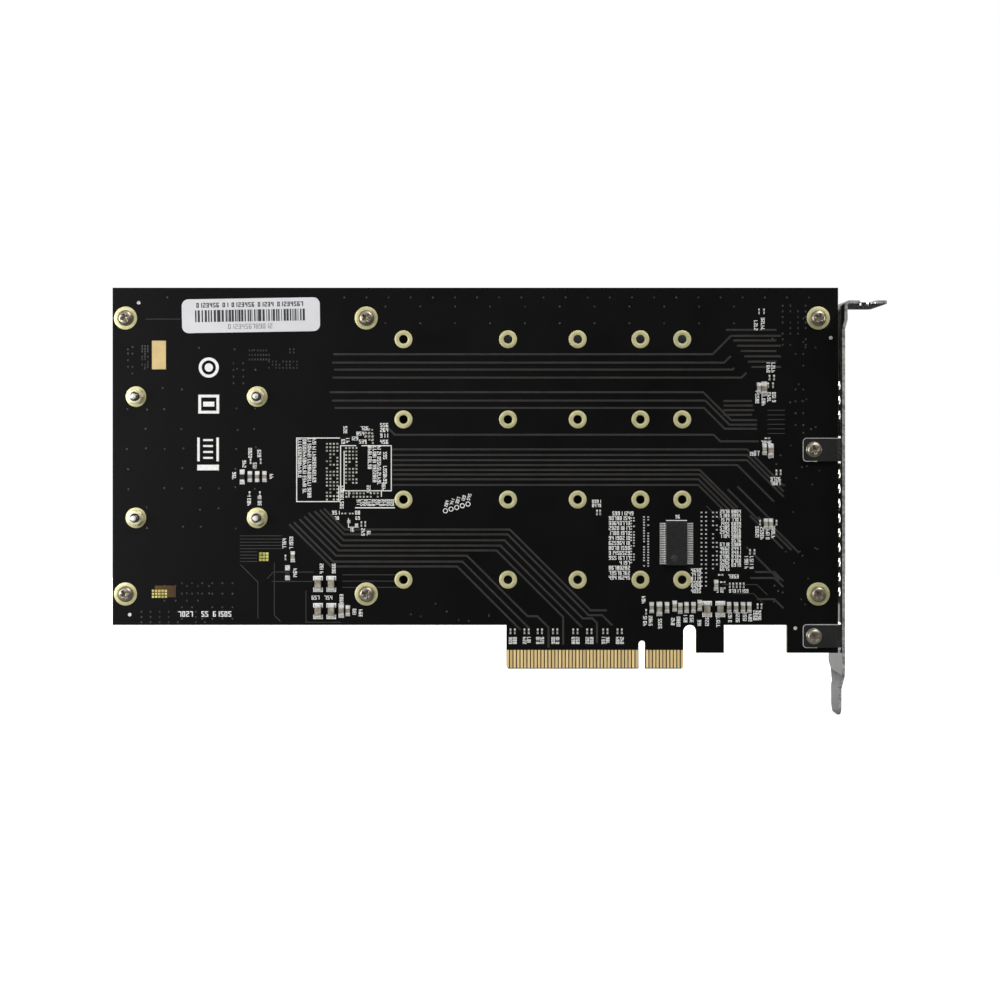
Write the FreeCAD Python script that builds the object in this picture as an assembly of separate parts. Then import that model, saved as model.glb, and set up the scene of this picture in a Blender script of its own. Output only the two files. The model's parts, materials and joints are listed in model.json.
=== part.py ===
import FreeCAD, Part
import math
import os

# Drive adapter card for a server's expansion slot. A long black board carries four drive
# sockets and a switch chip on its component side. A finned plate covers that side on six
# posts, with a small fan in a window at the board's free end, and a folded, vented steel
# bracket closes the other end. The solder side is open to view.
#
# Frame, in millimetres: the origin is the middle of the key notch in the contact edge, in
# the middle of the board's thickness. X runs along the board towards the bracket, Z runs up
# from the contact edge, and the solder side faces -Y.

Vector = FreeCAD.Vector

# Board outline, seen from the solder side
board_thickness = 1.57
board_free_reach = 151.9
board_bracket_reach = 56.3
board_height = 109.4
lower_edge_height = 12.6
foot_height = 4.6
tongue_corner = 1.0
edge_bevel = 0.35
key_width = 1.9
key_depth = 8.1
relief_width = 3.7
retention_width = 7.95
foot_width = 14.6

# Edge contacts
contact_pitch = 1.0
contact_width = 0.7
contact_length = 5.1
contact_thickness = 0.04
contact_side_margin = 0.05
first_contact_offset = 1.5
long_side_contacts = 38
short_side_contacts = 11

# Drives: each row is one drive, held by one of five holes along it
drive_row_pitch = 23.0
drive_rows = 4
lowest_row_height = 25.6
drive_datum_inset = 14.73
drive_lengths = (30.0, 42.0, 60.0, 80.0, 110.0)
drive_hole_radius = 1.27

# Drive sockets
socket_depth = 8.7
socket_height = 4.2
socket_width = 21.9
socket_grip = 4.2
socket_slot_height = 1.3
socket_slot_level = 2.0
socket_slot_width = 20.1
socket_key_offset = 6.1
socket_key_width = 1.2

# Cover plate and its fixings
cover_gap = 7.5
cover_base = 3.0
cover_rib_height = 1.5
cover_rib_width = 2.0
cover_rib_pitch = 5.2
cover_free_margin = 0.8
cover_bracket_margin = 1.2
cover_side_margin = 4.4
cover_corner_radius = 2.0
cover_screw_radius = 1.5
cover_screw_length = 6.0
cover_screw_head_radius = 2.3
cover_screw_head_height = 1.5
cover_post_across = 5.5
cover_screw_end_inset = 3.7
cover_screw_bracket_inset = 5.7
cover_screw_beyond_drives = 10.67
cover_screw_top_inset = 8.7
cover_screw_lower_inset = 8.9
clearance = 0.1

# Sides that stand for a circle on the many small screws, nuts and posts, and on their holes
head_sides = 16
bore_sides = 12

# Fan
fan_size = 43.0
fan_depth = 7.0
fan_hole_pitch = 34.8
fan_end_inset = 24.1
fan_height = 60.75
fan_corner_radius = 3.5
fan_wall = 1.2
fan_leg = 6.0
fan_window_gap = 0.6
fan_screw_radius = 1.0
fan_screw_length = 16.0
fan_screw_head_radius = 1.9
fan_screw_head_height = 1.3
fan_nut_across = 4.0
fan_nut_height = 1.6
fan_base_thickness = 1.2
fan_strut_width = 2.6
fan_struts = 3
fan_strut_angle = 30.0
fan_tip_gap = 0.5
hub_radius = 8.4
hub_wall = 0.9
hub_gap = 0.4
blade_count = 7
blade_thickness = 0.9
blade_edge_share = 0.3
blade_camber = 1.1
blade_panels = 3
blade_chord = 9.0
blade_angle = 27.0
shaft_radius = 0.75
shaft_running_gap = 0.03
bearing_wall = 0.75
bearing_tube_wall = 0.6
stator_gap = 0.5
stator_height = 2.4
stator_ring = 6.6
stator_pole_width = 2.6
stator_shoe = 1.2
fitted_gap = 0.02

# Switch chip and the pads that carry heat to the cover
chip_size = 19.0
chip_carrier_thickness = 0.6
chip_cap_inset = 1.2
chip_cap_thickness = 1.2
chip_beyond_drives = 13.0
chip_level = 57.2
chip_pad_thickness = 0.8
drive_pad_thickness = 1.5
drive_pad_width = 20.0
drive_pad_end_gap = 3.4

# Bracket, folded from one sheet
bracket_gap = 0.4
bracket_thickness = 0.86
bracket_width = 18.42
bracket_solder_reach = 3.4
bracket_shoulder_width = 3.17
bracket_shoulder_top = 99.7
bracket_shoulder_bottom = 97.4
bracket_bend_radius = 0.5
flange_height = 105.2
flange_length = 11.43
flange_corner_radius = 1.5
flange_notch_centre = 5.84
flange_notch_width = 4.42
flange_notch_depth = 6.6
flange_notch_mouth = 0.6
tongue_width = 10.19
tongue_tip = -12.8
tongue_tip_radius = 2.6
tongue_taper_top = 0.4
tongue_taper_bottom = -4.4
joggle_offset = 1.0
joggle_top = -1.4
joggle_bottom = -5.2
vent_across = 2.4
vent_pitch = 4.236
vent_rows = 15
vent_columns = 4
vent_lowest = 22.1
tab_length = 10.7
tab_height = 6.6
lower_tab_level = 9.5
upper_tab_level = 62.9
tab_relief = 0.6
tab_corner_radius = 1.0
tab_hole_inset = 3.2
bracket_screw_radius = 1.25
bracket_screw_head_radius = 2.3
bracket_screw_head_height = 1.4
bracket_nut_across = 5.0
bracket_nut_height = 2.0
screw_end_past_nut = 0.6

# Clock chip on the solder side
clock_inset = 31.67
clock_level = 36.0
clock_width = 6.1
clock_length = 12.5
clock_thickness = 1.1
clock_draft = 0.12

# Supply capacitors on the solder side
supply_capacitor_size = (2.6, 1.6, 4.5)
supply_capacitor_beyond_post = 12.3
supply_capacitor_level = 20.3
supply_capacitor_pitch = (4.0, 7.4)

# Supply parts on the component side
inductor_size = 6.6
inductor_height = 3.0
inductor_corner = 1.2
inductor_beyond_post = 12.9
inductor_levels = (23.0, 32.0)
controller_size = 5.0
controller_height = 0.9
controller_beyond_post = 6.5
bulk_capacitor_size = (7.3, 2.8, 4.3)
bulk_capacitors = 3
bulk_capacitor_pitch = 10.0
bulk_capacitor_level = 24.0
memory_size = (4.9, 1.5, 3.9)
memory_level = 77.0
crystal_size = (3.2, 0.8, 2.5)
crystal_level = 41.5

# Fan lead's header on the component side
header_size = (7.4, 5.4, 4.2)
header_gap = 1.6
header_inductor_gap = 1.6
header_wall = 0.7
header_floor = 1.6
header_pins = 3
header_pin_pitch = 2.0
header_pin_size = 0.5

# Places that follow from the sizes
solder_face = -board_thickness / 2
part_face = board_thickness / 2
cover_under = part_face + cover_gap
cover_base_top = cover_under + cover_base
cover_top = cover_base_top + cover_rib_height

drive_datum = board_bracket_reach - drive_datum_inset
drive_hole_x = [drive_datum - length for length in drive_lengths]
drive_row_levels = [lowest_row_height + row * drive_row_pitch for row in range(drive_rows)]
drive_hole_places = [(x, z) for x in drive_hole_x for z in drive_row_levels]
drives_end = min(drive_hole_x)
post_x = drives_end - cover_screw_beyond_drives

cover_screw_places = [
    (x, z)
    for x in (
        -board_free_reach + cover_screw_end_inset,
        post_x,
        board_bracket_reach - cover_screw_bracket_inset,
    )
    for z in (lower_edge_height + cover_screw_lower_inset, board_height - cover_screw_top_inset)
]

fan_x = -board_free_reach + fan_end_inset
fan_top = cover_top - fan_screw_head_height
fan_under = fan_top - fan_depth
fan_screw_places = [
    (fan_x + sx * fan_hole_pitch / 2, fan_height + sz * fan_hole_pitch / 2)
    for sx in (-1, 1)
    for sz in (-1, 1)
]
duct_radius = fan_size / 2 - fan_wall
blade_tip_radius = duct_radius - fan_tip_gap
hub_bottom = fan_under + fan_base_thickness + hub_gap
hub_top = fan_top - hub_gap
bearing_radius = shaft_radius + shaft_running_gap + bearing_wall
bearing_tube_radius = bearing_radius + fitted_gap + bearing_tube_wall
bearing_top = hub_top - 2 * hub_wall - hub_gap
stator_reach = hub_radius - hub_wall - stator_gap

inductor_x = post_x - inductor_beyond_post
controller_x = post_x - controller_beyond_post
supply_capacitor_x = post_x - supply_capacitor_beyond_post
clock_x = drive_datum - clock_inset
bulk_capacitor_x = [fan_x + index * bulk_capacitor_pitch for index in range(bulk_capacitors)]
header_x = fan_x + fan_size / 2 + header_gap + header_size[0] / 2
header_level = (
    max(inductor_levels) + inductor_size / 2 + header_inductor_gap + header_size[2] / 2
)

chip_x = drives_end - chip_beyond_drives
chip_top = part_face + chip_carrier_thickness + chip_cap_thickness

bracket_inner = board_bracket_reach + bracket_gap
bracket_outer = bracket_inner + bracket_thickness
bracket_solder_edge = solder_face - bracket_solder_reach
bracket_far_edge = bracket_solder_edge + bracket_width
bracket_shoulder_edge = bracket_solder_edge - bracket_shoulder_width
tab_face = solder_face - bracket_thickness
tab_hole_x = bracket_inner - tab_length + tab_hole_inset
tab_levels = (lower_tab_level, upper_tab_level)
bracket_screw_places = [(tab_hole_x, z) for z in tab_levels]

# Room that a cutter has past the faces it goes through
cut_past = 1.0


def save(name, shapes):
    """Write one sub-part, given as a shape or a list of separate solids."""
    solids = shapes if isinstance(shapes, list) else [shapes]
    shape = solids[0] if len(solids) == 1 else Part.makeCompound(solids)
    shape.exportStep("parts/" + name + ".step")
    print(name, len(shape.Solids), "solid(s)", round(shape.Volume, 2), "mm3")


def box(x_range, y_range, z_range):
    """A block between two limits on each axis."""
    low = Vector(x_range[0], y_range[0], z_range[0])
    sides = [limits[1] - limits[0] for limits in (x_range, y_range, z_range)]
    return Part.makeBox(*sides, low)


def centred(middle, width):
    """The limits of a width laid evenly about its middle."""
    return (middle - width / 2, middle + width / 2)


def prism(points, travel):
    """A closed polygon carried along a straight travel."""
    return Part.Face(Part.makePolygon(points + points[:1])).extrude(travel)


def prism_along_y(outline, y_range):
    """An outline of (x, z) points carried along Y."""
    points = [Vector(x, y_range[0], z) for x, z in outline]
    return prism(points, Vector(0, y_range[1] - y_range[0], 0))


def prism_along_x(outline, x_range):
    """An outline of (y, z) points carried along X."""
    points = [Vector(x_range[0], y, z) for y, z in outline]
    return prism(points, Vector(x_range[1] - x_range[0], 0, 0))


def cylinder(place, radius, y_range):
    """A round bar along Y at an (x, z) place."""
    low = Vector(place[0], y_range[0], place[1])
    return Part.makeCylinder(radius, y_range[1] - y_range[0], low, Vector(0, 1, 0))


def tube(place, outer, inner, y_range):
    """A round bar along Y with a round bore."""
    return cylinder(place, outer, y_range).cut(cylinder(place, inner, y_range))


def polygon(place, across, sides=6):
    """The corners of a regular polygon from its width across flats, on two axes."""
    reach = across / 2 / math.cos(math.pi / sides)
    angles = [2 * math.pi * corner / sides for corner in range(sides)]
    return [(place[0] + reach * math.cos(a), place[1] + reach * math.sin(a)) for a in angles]


def small_bore(place, radius, y_range):
    """A cutter for a small hole, whose flats lie on the hole's own radius."""
    return prism_along_y(polygon(place, 2 * radius, bore_sides), y_range)


def round_edges(shape, radius, direction, where):
    """Fillet the edges that run along a direction and whose middle passes a test."""
    chosen = []
    for edge in shape.Edges:
        along = edge.Vertexes[-1].Point - edge.Vertexes[0].Point
        if along.Length > 1e-6 and along.cross(direction).Length < 1e-6 * along.Length:
            if where(edge.CenterOfMass):
                chosen.append(edge)
    return shape.makeFillet(radius, chosen)


def near(value, target):
    """Whether a coordinate lies on a named place."""
    return abs(value - target) < 1e-3


def screw(place, shank_radius, head, seat, head_side, length):
    """A screw along Y: a head of (radius, height) on its seat, and a shank without thread.

    Both have few sides because there are many screws. The shank's six corners lie on the
    screw's own radius.
    """
    head_radius, head_height = head
    head_y = sorted((seat, seat + head_side * head_height))
    shank_y = sorted((seat, seat - head_side * length))
    shank = prism_along_y(polygon(place, shank_radius * math.sqrt(3)), shank_y)
    return prism_along_y(polygon(place, 2 * head_radius, head_sides), head_y).fuse(shank)


def round_ended_slot(x_middle, width, top, bottom):
    """A slot that comes up from below and ends in a half round at its top."""
    through = (solder_face - cut_past, part_face + cut_past)
    shaft_of_slot = box(centred(x_middle, width), through, (bottom, top - width / 2))
    return shaft_of_slot.fuse(cylinder((x_middle, top - width / 2), width / 2, through))


def contact_rows():
    """The X of every contact on one face: the long row, then the short one."""
    long_row = [-first_contact_offset - i * contact_pitch for i in range(long_side_contacts)]
    short_row = [first_contact_offset + i * contact_pitch for i in range(short_side_contacts)]
    return long_row, short_row


def make_board():
    long_row, short_row = contact_rows()
    side = contact_width / 2 + contact_side_margin
    tongue_start = long_row[-1] - side
    tongue_end = short_row[-1] + side
    retention_start = tongue_end + relief_width
    retention_end = retention_start + retention_width
    foot_start = board_bracket_reach - foot_width
    outline = [
        (-board_free_reach, lower_edge_height),
        (tongue_start, lower_edge_height),
        (tongue_start, tongue_corner),
        (tongue_start + tongue_corner / 2, 0),
        (tongue_end - tongue_corner / 2, 0),
        (tongue_end, tongue_corner),
        (tongue_end, foot_height),
        (retention_end, foot_height),
        (retention_end, lower_edge_height),
        (foot_start, lower_edge_height),
        (foot_start, foot_height),
        (board_bracket_reach, foot_height),
        (board_bracket_reach, board_height),
        (-board_free_reach, board_height),
    ]
    board = prism_along_y(outline, (solder_face, part_face))

    cutters = [
        round_ended_slot(0, key_width, key_depth, -cut_past),
        round_ended_slot(
            (tongue_end + retention_start) / 2, relief_width, lower_edge_height, -cut_past
        ),
    ]
    for face, inward in ((solder_face, 1), (part_face, -1)):
        wedge = [
            (face - inward * cut_past, edge_bevel + cut_past),
            (face - inward * cut_past, -cut_past),
            (face + inward * (edge_bevel + cut_past), -cut_past),
        ]
        cutters.append(prism_along_x(wedge, (tongue_start - cut_past, tongue_end + cut_past)))
    through = (solder_face - cut_past, part_face + cut_past)
    cutters += [cylinder(place, drive_hole_radius, through) for place in drive_hole_places]
    screw_holes = [(place, cover_screw_radius) for place in cover_screw_places]
    screw_holes += [(place, fan_screw_radius) for place in fan_screw_places]
    screw_holes += [(place, bracket_screw_radius) for place in bracket_screw_places]
    cutters += [small_bore(place, radius + clearance, through) for place, radius in screw_holes]
    return board.cut(cutters)


def make_contacts(face, outward):
    """Thin gold contacts on one face of the tongues."""
    y_range = sorted((face, face + outward * contact_thickness))
    z_range = (edge_bevel, edge_bevel + contact_length)
    rows = contact_rows()
    return [box(centred(x, contact_width), y_range, z_range) for row in rows for x in row]


def make_socket(level):
    """A drive socket: a block with a mouth towards the drives and a key across it."""
    mouth = drive_datum - socket_grip
    body = box(
        (mouth, mouth + socket_depth), (part_face, part_face + socket_height),
        centred(level, socket_width),
    )
    slot_floor = part_face + socket_slot_level
    slot_y = (slot_floor, slot_floor + socket_slot_height)
    slot = box((mouth - cut_past, drive_datum), slot_y, centred(level, socket_slot_width))
    key = box((mouth, drive_datum), slot_y, centred(level - socket_key_offset, socket_key_width))
    lead_in = socket_height - socket_slot_level - socket_slot_height
    lip = [
        (mouth - cut_past, slot_y[1] - cut_past),
        (mouth + lead_in / 2, slot_y[1]),
        (mouth - cut_past, slot_y[1] + lead_in + cut_past),
    ]
    low_z, high_z = centred(level, socket_slot_width)
    points = [Vector(x, y, low_z) for x, y in lip]
    lead_in_cut = prism(points, Vector(0, 0, high_z - low_z))
    return body.cut([slot.cut(key), lead_in_cut])


def make_cover():
    """An extruded plate with shallow ribs, a window for the fan and a foot on the chip."""
    x_range = (-board_free_reach + cover_free_margin, board_bracket_reach - cover_bracket_margin)
    z_range = (lower_edge_height + cover_side_margin, board_height - cover_side_margin)
    ribs = int((z_range[1] - z_range[0]) / cover_rib_pitch)
    first_rib = (z_range[0] + z_range[1] - (ribs - 1) * cover_rib_pitch) / 2
    section = [(cover_under, z_range[0]), (cover_base_top, z_range[0])]
    for rib in range(ribs):
        low_z, high_z = centred(first_rib + rib * cover_rib_pitch, cover_rib_width)
        section += [
            (cover_base_top, low_z), (cover_top, low_z),
            (cover_top, high_z), (cover_base_top, high_z),
        ]
    section += [(cover_base_top, z_range[1]), (cover_under, z_range[1])]
    cover = prism_along_x(section, x_range)
    cover = round_edges(
        cover, cover_corner_radius, Vector(0, 1, 0),
        lambda c: near(c.z, z_range[0]) or near(c.z, z_range[1]),
    )
    foot = box(
        centred(chip_x, chip_size), (chip_top + chip_pad_thickness, cover_under),
        centred(chip_level, chip_size),
    )
    window_side = fan_size + 2 * fan_window_gap
    window = box(
        centred(fan_x, window_side), (cover_under - cut_past, cover_top + cut_past),
        centred(fan_height, window_side),
    )
    window = round_edges(window, fan_corner_radius + fan_window_gap, Vector(0, 1, 0), bool)
    return cover.fuse(foot).cut(window)


def make_cover_post(place):
    """A hexagon post under the cover, tapped from the board's side."""
    post = prism_along_y(polygon(place, cover_post_across), (part_face, cover_under))
    tapped_to = solder_face + cover_screw_length + clearance
    return post.cut(
        small_bore(place, cover_screw_radius + clearance / 2, (part_face - cut_past, tapped_to))
    )


def make_fan_frame():
    """A square duct on four legs, with struts and a tube for the bearing."""
    centre = (fan_x, fan_height)
    frame = box(centred(fan_x, fan_size), (fan_under, fan_top), centred(fan_height, fan_size))
    frame = round_edges(frame, fan_corner_radius, Vector(0, 1, 0), bool)
    legs = [
        box(centred(x, fan_leg), (part_face, fan_under), centred(z, fan_leg))
        for x, z in fan_screw_places
    ]
    duct = cylinder(centre, duct_radius, (part_face - cut_past, fan_top + cut_past))
    holes = [
        small_bore(place, fan_screw_radius + clearance, (part_face - cut_past, fan_top + cut_past))
        for place in fan_screw_places
    ]
    frame = frame.fuse(legs).cut([duct] + holes)

    base_y = (fan_under, fan_under + fan_base_thickness)
    pieces = [
        cylinder(centre, hub_radius, base_y),
        cylinder(centre, bearing_tube_radius, (fan_under, bearing_top)),
    ]
    for strut in range(fan_struts):
        bar = box((0, duct_radius + fan_wall / 2), base_y, centred(0, fan_strut_width))
        bar.rotate(Vector(0, 0, 0), Vector(0, 1, 0), fan_strut_angle + 360 / fan_struts * strut)
        bar.translate(Vector(fan_x, 0, fan_height))
        pieces.append(bar)
    bore = cylinder(
        centre, bearing_radius + fitted_gap, (fan_under + fan_base_thickness / 2, bearing_top)
    )
    return frame.fuse(pieces).cut(bore).removeSplitter()


def make_blade():
    """A cambered blade of flat panels, thinner at both edges, carried out along the radius.

    Its tip is cut square, so far out that the tip's corners reach the blades' own radius.
    """
    slope = math.radians(blade_angle)
    along = Vector(0, math.sin(slope), math.cos(slope))
    across = Vector(0, math.cos(slope), -math.sin(slope))
    half_width = blade_chord / 2 * math.cos(slope)
    root = math.sqrt((hub_radius - hub_wall / 4) ** 2 - half_width**2)
    tip = math.sqrt(blade_tip_radius**2 - half_width**2)
    middle = Vector(root, (hub_bottom + hub_top) / 2, 0)
    stations = [2 * step / blade_panels - 1 for step in range(blade_panels + 1)]

    def surface(station, side):
        camber = blade_camber * (1 - station**2)
        half_thickness = blade_thickness / 2 * (1 - (1 - blade_edge_share) * station**2)
        return middle + along * (station * blade_chord / 2) + across * (camber + side * half_thickness)

    section = [surface(s, 1) for s in stations] + [surface(s, -1) for s in reversed(stations)]
    return prism(section, Vector(tip - root, 0, 0))


def make_impeller():
    """A hub cup with cambered blades round it, and a seat for the shaft."""
    centre = (0, 0)
    cup = cylinder(centre, hub_radius, (hub_bottom, hub_top))
    hollow = tube(centre, hub_radius - hub_wall, bearing_tube_radius, (hub_bottom, hub_top - hub_wall))
    room = cylinder(centre, bearing_tube_radius, (hub_bottom, bearing_top + hub_gap))
    shaft_seat = cylinder(centre, shaft_radius + fitted_gap, (bearing_top, hub_top - hub_wall / 2))
    blade = make_blade()
    blades = []
    for index in range(blade_count):
        copy = blade.copy()
        copy.rotate(Vector(0, 0, 0), Vector(0, 1, 0), 360 / blade_count * index)
        blades.append(copy)
    impeller = cup.fuse(blades).cut([hollow, room, shaft_seat])
    impeller.translate(Vector(fan_x, 0, fan_height))
    return impeller


def make_stator():
    """Four iron poles with flat shoes on a block that slips over the bearing tube."""
    low_y = fan_under + fan_base_thickness + hub_gap
    y_range = (low_y, low_y + stator_height)
    block = box(centred(fan_x, stator_ring), y_range, centred(fan_height, stator_ring))
    shoe_width = 2 * math.sqrt(stator_reach**2 - (stator_reach - stator_shoe / 2) ** 2)
    shoe_end = math.sqrt(stator_reach**2 - shoe_width**2 / 4)
    pieces = []
    for turn in range(4):
        pole = box((0, shoe_end - stator_shoe / 2), y_range, centred(0, stator_pole_width))
        shoe = box((shoe_end - stator_shoe, shoe_end), y_range, centred(0, shoe_width))
        arm = pole.fuse(shoe)
        arm.rotate(Vector(0, 0, 0), Vector(0, 1, 0), 90 * turn)
        arm.translate(Vector(fan_x, 0, fan_height))
        pieces.append(arm)
    bore = cylinder((fan_x, fan_height), bearing_tube_radius + fitted_gap, y_range)
    return block.fuse(pieces).cut(bore).removeSplitter()


def make_bracket():
    """A folded sheet: plate, top flange, joggled tongue, two tabs on the board and vents."""
    sheet_line = [
        (bracket_inner, flange_height),
        (bracket_outer + flange_length, flange_height),
        (bracket_outer + flange_length, flange_height - bracket_thickness),
        (bracket_outer, flange_height - bracket_thickness),
        (bracket_outer, joggle_top),
        (bracket_outer - joggle_offset, joggle_bottom),
        (bracket_outer - joggle_offset, tongue_tip),
        (bracket_inner - joggle_offset, tongue_tip),
        (bracket_inner - joggle_offset, joggle_bottom),
        (bracket_inner, joggle_top),
    ]
    sheet = prism_along_y(sheet_line, (bracket_shoulder_edge, bracket_far_edge))
    along_y = Vector(0, 1, 0)
    sheet = round_edges(
        sheet, bracket_bend_radius + bracket_thickness, along_y,
        lambda c: near(c.x, bracket_inner) and near(c.z, flange_height),
    )
    sheet = round_edges(
        sheet, bracket_bend_radius, along_y,
        lambda c: near(c.x, bracket_outer) and near(c.z, flange_height - bracket_thickness),
    )

    tongue_edge = bracket_solder_edge + tongue_width
    x_range = (bracket_inner - 2 * joggle_offset, bracket_outer + flange_length + cut_past)
    blank = prism_along_x(
        [
            (bracket_shoulder_edge, flange_height + cut_past),
            (bracket_shoulder_edge, bracket_shoulder_top),
            (bracket_solder_edge, bracket_shoulder_bottom),
            (bracket_solder_edge, tongue_tip),
            (tongue_edge, tongue_tip),
            (tongue_edge, tongue_taper_bottom),
            (bracket_far_edge, tongue_taper_top),
            (bracket_far_edge, flange_height + cut_past),
        ],
        x_range,
    )
    blank = round_edges(
        blank, tongue_tip_radius, Vector(1, 0, 0), lambda c: near(c.z, tongue_tip)
    )
    sheet = sheet.common(blank)
    sheet = round_edges(
        sheet, flange_corner_radius, Vector(0, 0, 1),
        lambda c: near(c.x, bracket_outer + flange_length),
    )

    notch_x = bracket_outer + flange_notch_centre
    notch_end = bracket_shoulder_edge + flange_notch_depth - flange_notch_width / 2
    flange_z = (flange_height - bracket_thickness - cut_past, flange_height + cut_past)
    notch = box(
        centred(notch_x, flange_notch_width), (bracket_shoulder_edge - cut_past, notch_end), flange_z
    )
    notch_round = Part.makeCylinder(
        flange_notch_width / 2, flange_z[1] - flange_z[0], Vector(notch_x, notch_end, flange_z[0])
    )
    half = flange_notch_width / 2
    mouth = [
        Vector(notch_x - half - flange_notch_mouth, bracket_shoulder_edge, flange_z[0]),
        Vector(notch_x - half, bracket_shoulder_edge + flange_notch_mouth, flange_z[0]),
        Vector(notch_x + half, bracket_shoulder_edge + flange_notch_mouth, flange_z[0]),
        Vector(notch_x + half + flange_notch_mouth, bracket_shoulder_edge, flange_z[0]),
    ]
    cutters = [notch, notch_round, prism(mouth, Vector(0, 0, flange_z[1] - flange_z[0]))]

    plate_x = (bracket_inner - cut_past, bracket_outer + cut_past)
    window_y = (tab_face - tab_relief, solder_face + tab_length)
    for level in tab_levels:
        cutters.append(box(plate_x, window_y, centred(level, tab_height + 2 * tab_relief)))
    cutters += make_vents(plate_x, window_y)
    sheet = sheet.cut(cutters)
    for level in tab_levels:
        sheet = sheet.fuse(make_tab(level))
    return sheet.removeSplitter()


def make_vents(plate_x, window_y):
    """Hexagonal holes in staggered columns, left out where a tab was folded from the plate."""
    column_pitch = vent_pitch * math.sqrt(3) / 2
    middle_y = (bracket_solder_edge + bracket_far_edge) / 2
    keep_off = tab_height / 2 + tab_relief + vent_across
    vents = []
    for column in range(vent_columns):
        y = middle_y + (column - (vent_columns - 1) / 2) * column_pitch
        stagger = column % 2
        for row in range(vent_rows - stagger):
            z = vent_lowest + (row + stagger / 2) * vent_pitch
            beside_tab = min(abs(z - level) for level in tab_levels) < keep_off
            if not (beside_tab and y - vent_across < window_y[1]):
                vents.append(prism_along_x(polygon((y, z), vent_across), plate_x))
    return vents


def make_tab(level):
    """A tab folded from the plate to lie on the board's solder face, with a screw hole."""
    z_range = centred(level, tab_height)
    tab_x = (bracket_inner - tab_length, bracket_outer)
    tab = box(tab_x, (tab_face, solder_face), z_range)
    tab = round_edges(tab, tab_corner_radius, Vector(0, 1, 0), lambda c: near(c.x, tab_x[0]))
    root = box((bracket_inner, bracket_outer), (tab_face - tab_relief, solder_face), z_range)
    tab = tab.fuse(root).removeSplitter()
    tab = round_edges(
        tab, bracket_bend_radius + bracket_thickness / 2, Vector(0, 0, 1),
        lambda c: near(c.x, bracket_outer) and near(c.y, solder_face),
    )
    hole = small_bore(
        (tab_hole_x, level), bracket_screw_radius + clearance,
        (tab_face - cut_past, solder_face + cut_past),
    )
    return tab.cut(hole)


def nut(place, across, height, bore, y_low):
    """A hexagon nut along Y, standing on its lower face."""
    body = prism_along_y(polygon(place, across), (y_low, y_low + height))
    return body.cut(small_bore(place, bore, (y_low - cut_past, y_low + height + cut_past)))


def moulded_block(middle, size, y_range, draft):
    """A moulded chip body: its sides lean in above and below the parting line."""
    parting = (y_range[0] + y_range[1]) / 2

    def ring(y, inset):
        half_x, half_z = size[0] / 2 - inset, size[1] / 2 - inset
        corners = ((-1, -1), (1, -1), (1, 1), (-1, 1))
        points = [Vector(middle[0] + i * half_x, y, middle[1] + k * half_z) for i, k in corners]
        return Part.makePolygon(points + points[:1])

    rings = [ring(y_range[0], draft), ring(parting, 0), ring(y_range[1], draft)]
    return Part.makeLoft(rings, True, True)


def make_inductor(level):
    """A moulded power inductor with cut corners."""
    half, cut = inductor_size / 2, inductor_corner
    corners = [
        (half, half - cut), (half - cut, half), (cut - half, half), (-half, half - cut),
        (-half, cut - half), (cut - half, -half), (half - cut, -half), (half, cut - half),
    ]
    outline = [(inductor_x + dx, level + dz) for dx, dz in corners]
    return prism_along_y(outline, (part_face, part_face + inductor_height))


def make_header():
    """The open wafer that takes the fan lead's plug, and its pins."""
    x_range = centred(header_x, header_size[0])
    y_range = (part_face, part_face + header_size[1])
    z_range = centred(header_level, header_size[2])
    hollow = box(
        (x_range[0] + header_wall, x_range[1] - header_wall),
        (part_face + header_floor, y_range[1] + cut_past),
        (z_range[0] + header_wall, z_range[1] - header_wall),
    )
    shell = box(x_range, y_range, z_range).cut(hollow)
    pins = []
    for index in range(header_pins):
        x = header_x + (index - (header_pins - 1) / 2) * header_pin_pitch
        pins.append(
            box(
                centred(x, header_pin_size), (part_face + header_floor, y_range[1] - header_wall),
                centred(header_level, header_pin_size),
            )
        )
    return shell, pins


os.makedirs("parts", exist_ok=True)

save("board", make_board())
save("edge_contacts_back", make_contacts(solder_face, -1))
save("edge_contacts_front", make_contacts(part_face, 1))

save("bracket", make_bracket())
save(
    "bracket_screws",
    [
        screw(
            place, bracket_screw_radius, (bracket_screw_head_radius, bracket_screw_head_height),
            tab_face, -1, part_face + bracket_nut_height + screw_end_past_nut - tab_face,
        )
        for place in bracket_screw_places
    ],
)
save(
    "bracket_nuts",
    [
        nut(place, bracket_nut_across, bracket_nut_height, bracket_screw_radius + clearance / 2, part_face)
        for place in bracket_screw_places
    ],
)

save("cover_plate", make_cover())
save("cover_posts", [make_cover_post(place) for place in cover_screw_places])
save(
    "cover_screws",
    [
        screw(
            place, cover_screw_radius, (cover_screw_head_radius, cover_screw_head_height),
            solder_face, -1, cover_screw_length,
        )
        for place in cover_screw_places
    ],
)

save("fan_frame", make_fan_frame())
save("fan_impeller", make_impeller())
save("fan_stator", make_stator())
fan_centre = (fan_x, fan_height)
save(
    "fan_bearing",
    tube(
        fan_centre, bearing_radius, shaft_radius + shaft_running_gap,
        (fan_under + fan_base_thickness / 2, bearing_top),
    ),
)
save(
    "fan_shaft",
    cylinder(fan_centre, shaft_radius, (fan_under + fan_base_thickness, hub_top - hub_wall / 2)),
)
save(
    "fan_screws",
    [
        screw(
            place, fan_screw_radius, (fan_screw_head_radius, fan_screw_head_height),
            fan_top, 1, fan_screw_length,
        )
        for place in fan_screw_places
    ],
)
save(
    "fan_nuts",
    [
        nut(
            place, fan_nut_across, fan_nut_height, fan_screw_radius + clearance / 2,
            solder_face - fan_nut_height,
        )
        for place in fan_screw_places
    ],
)

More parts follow.
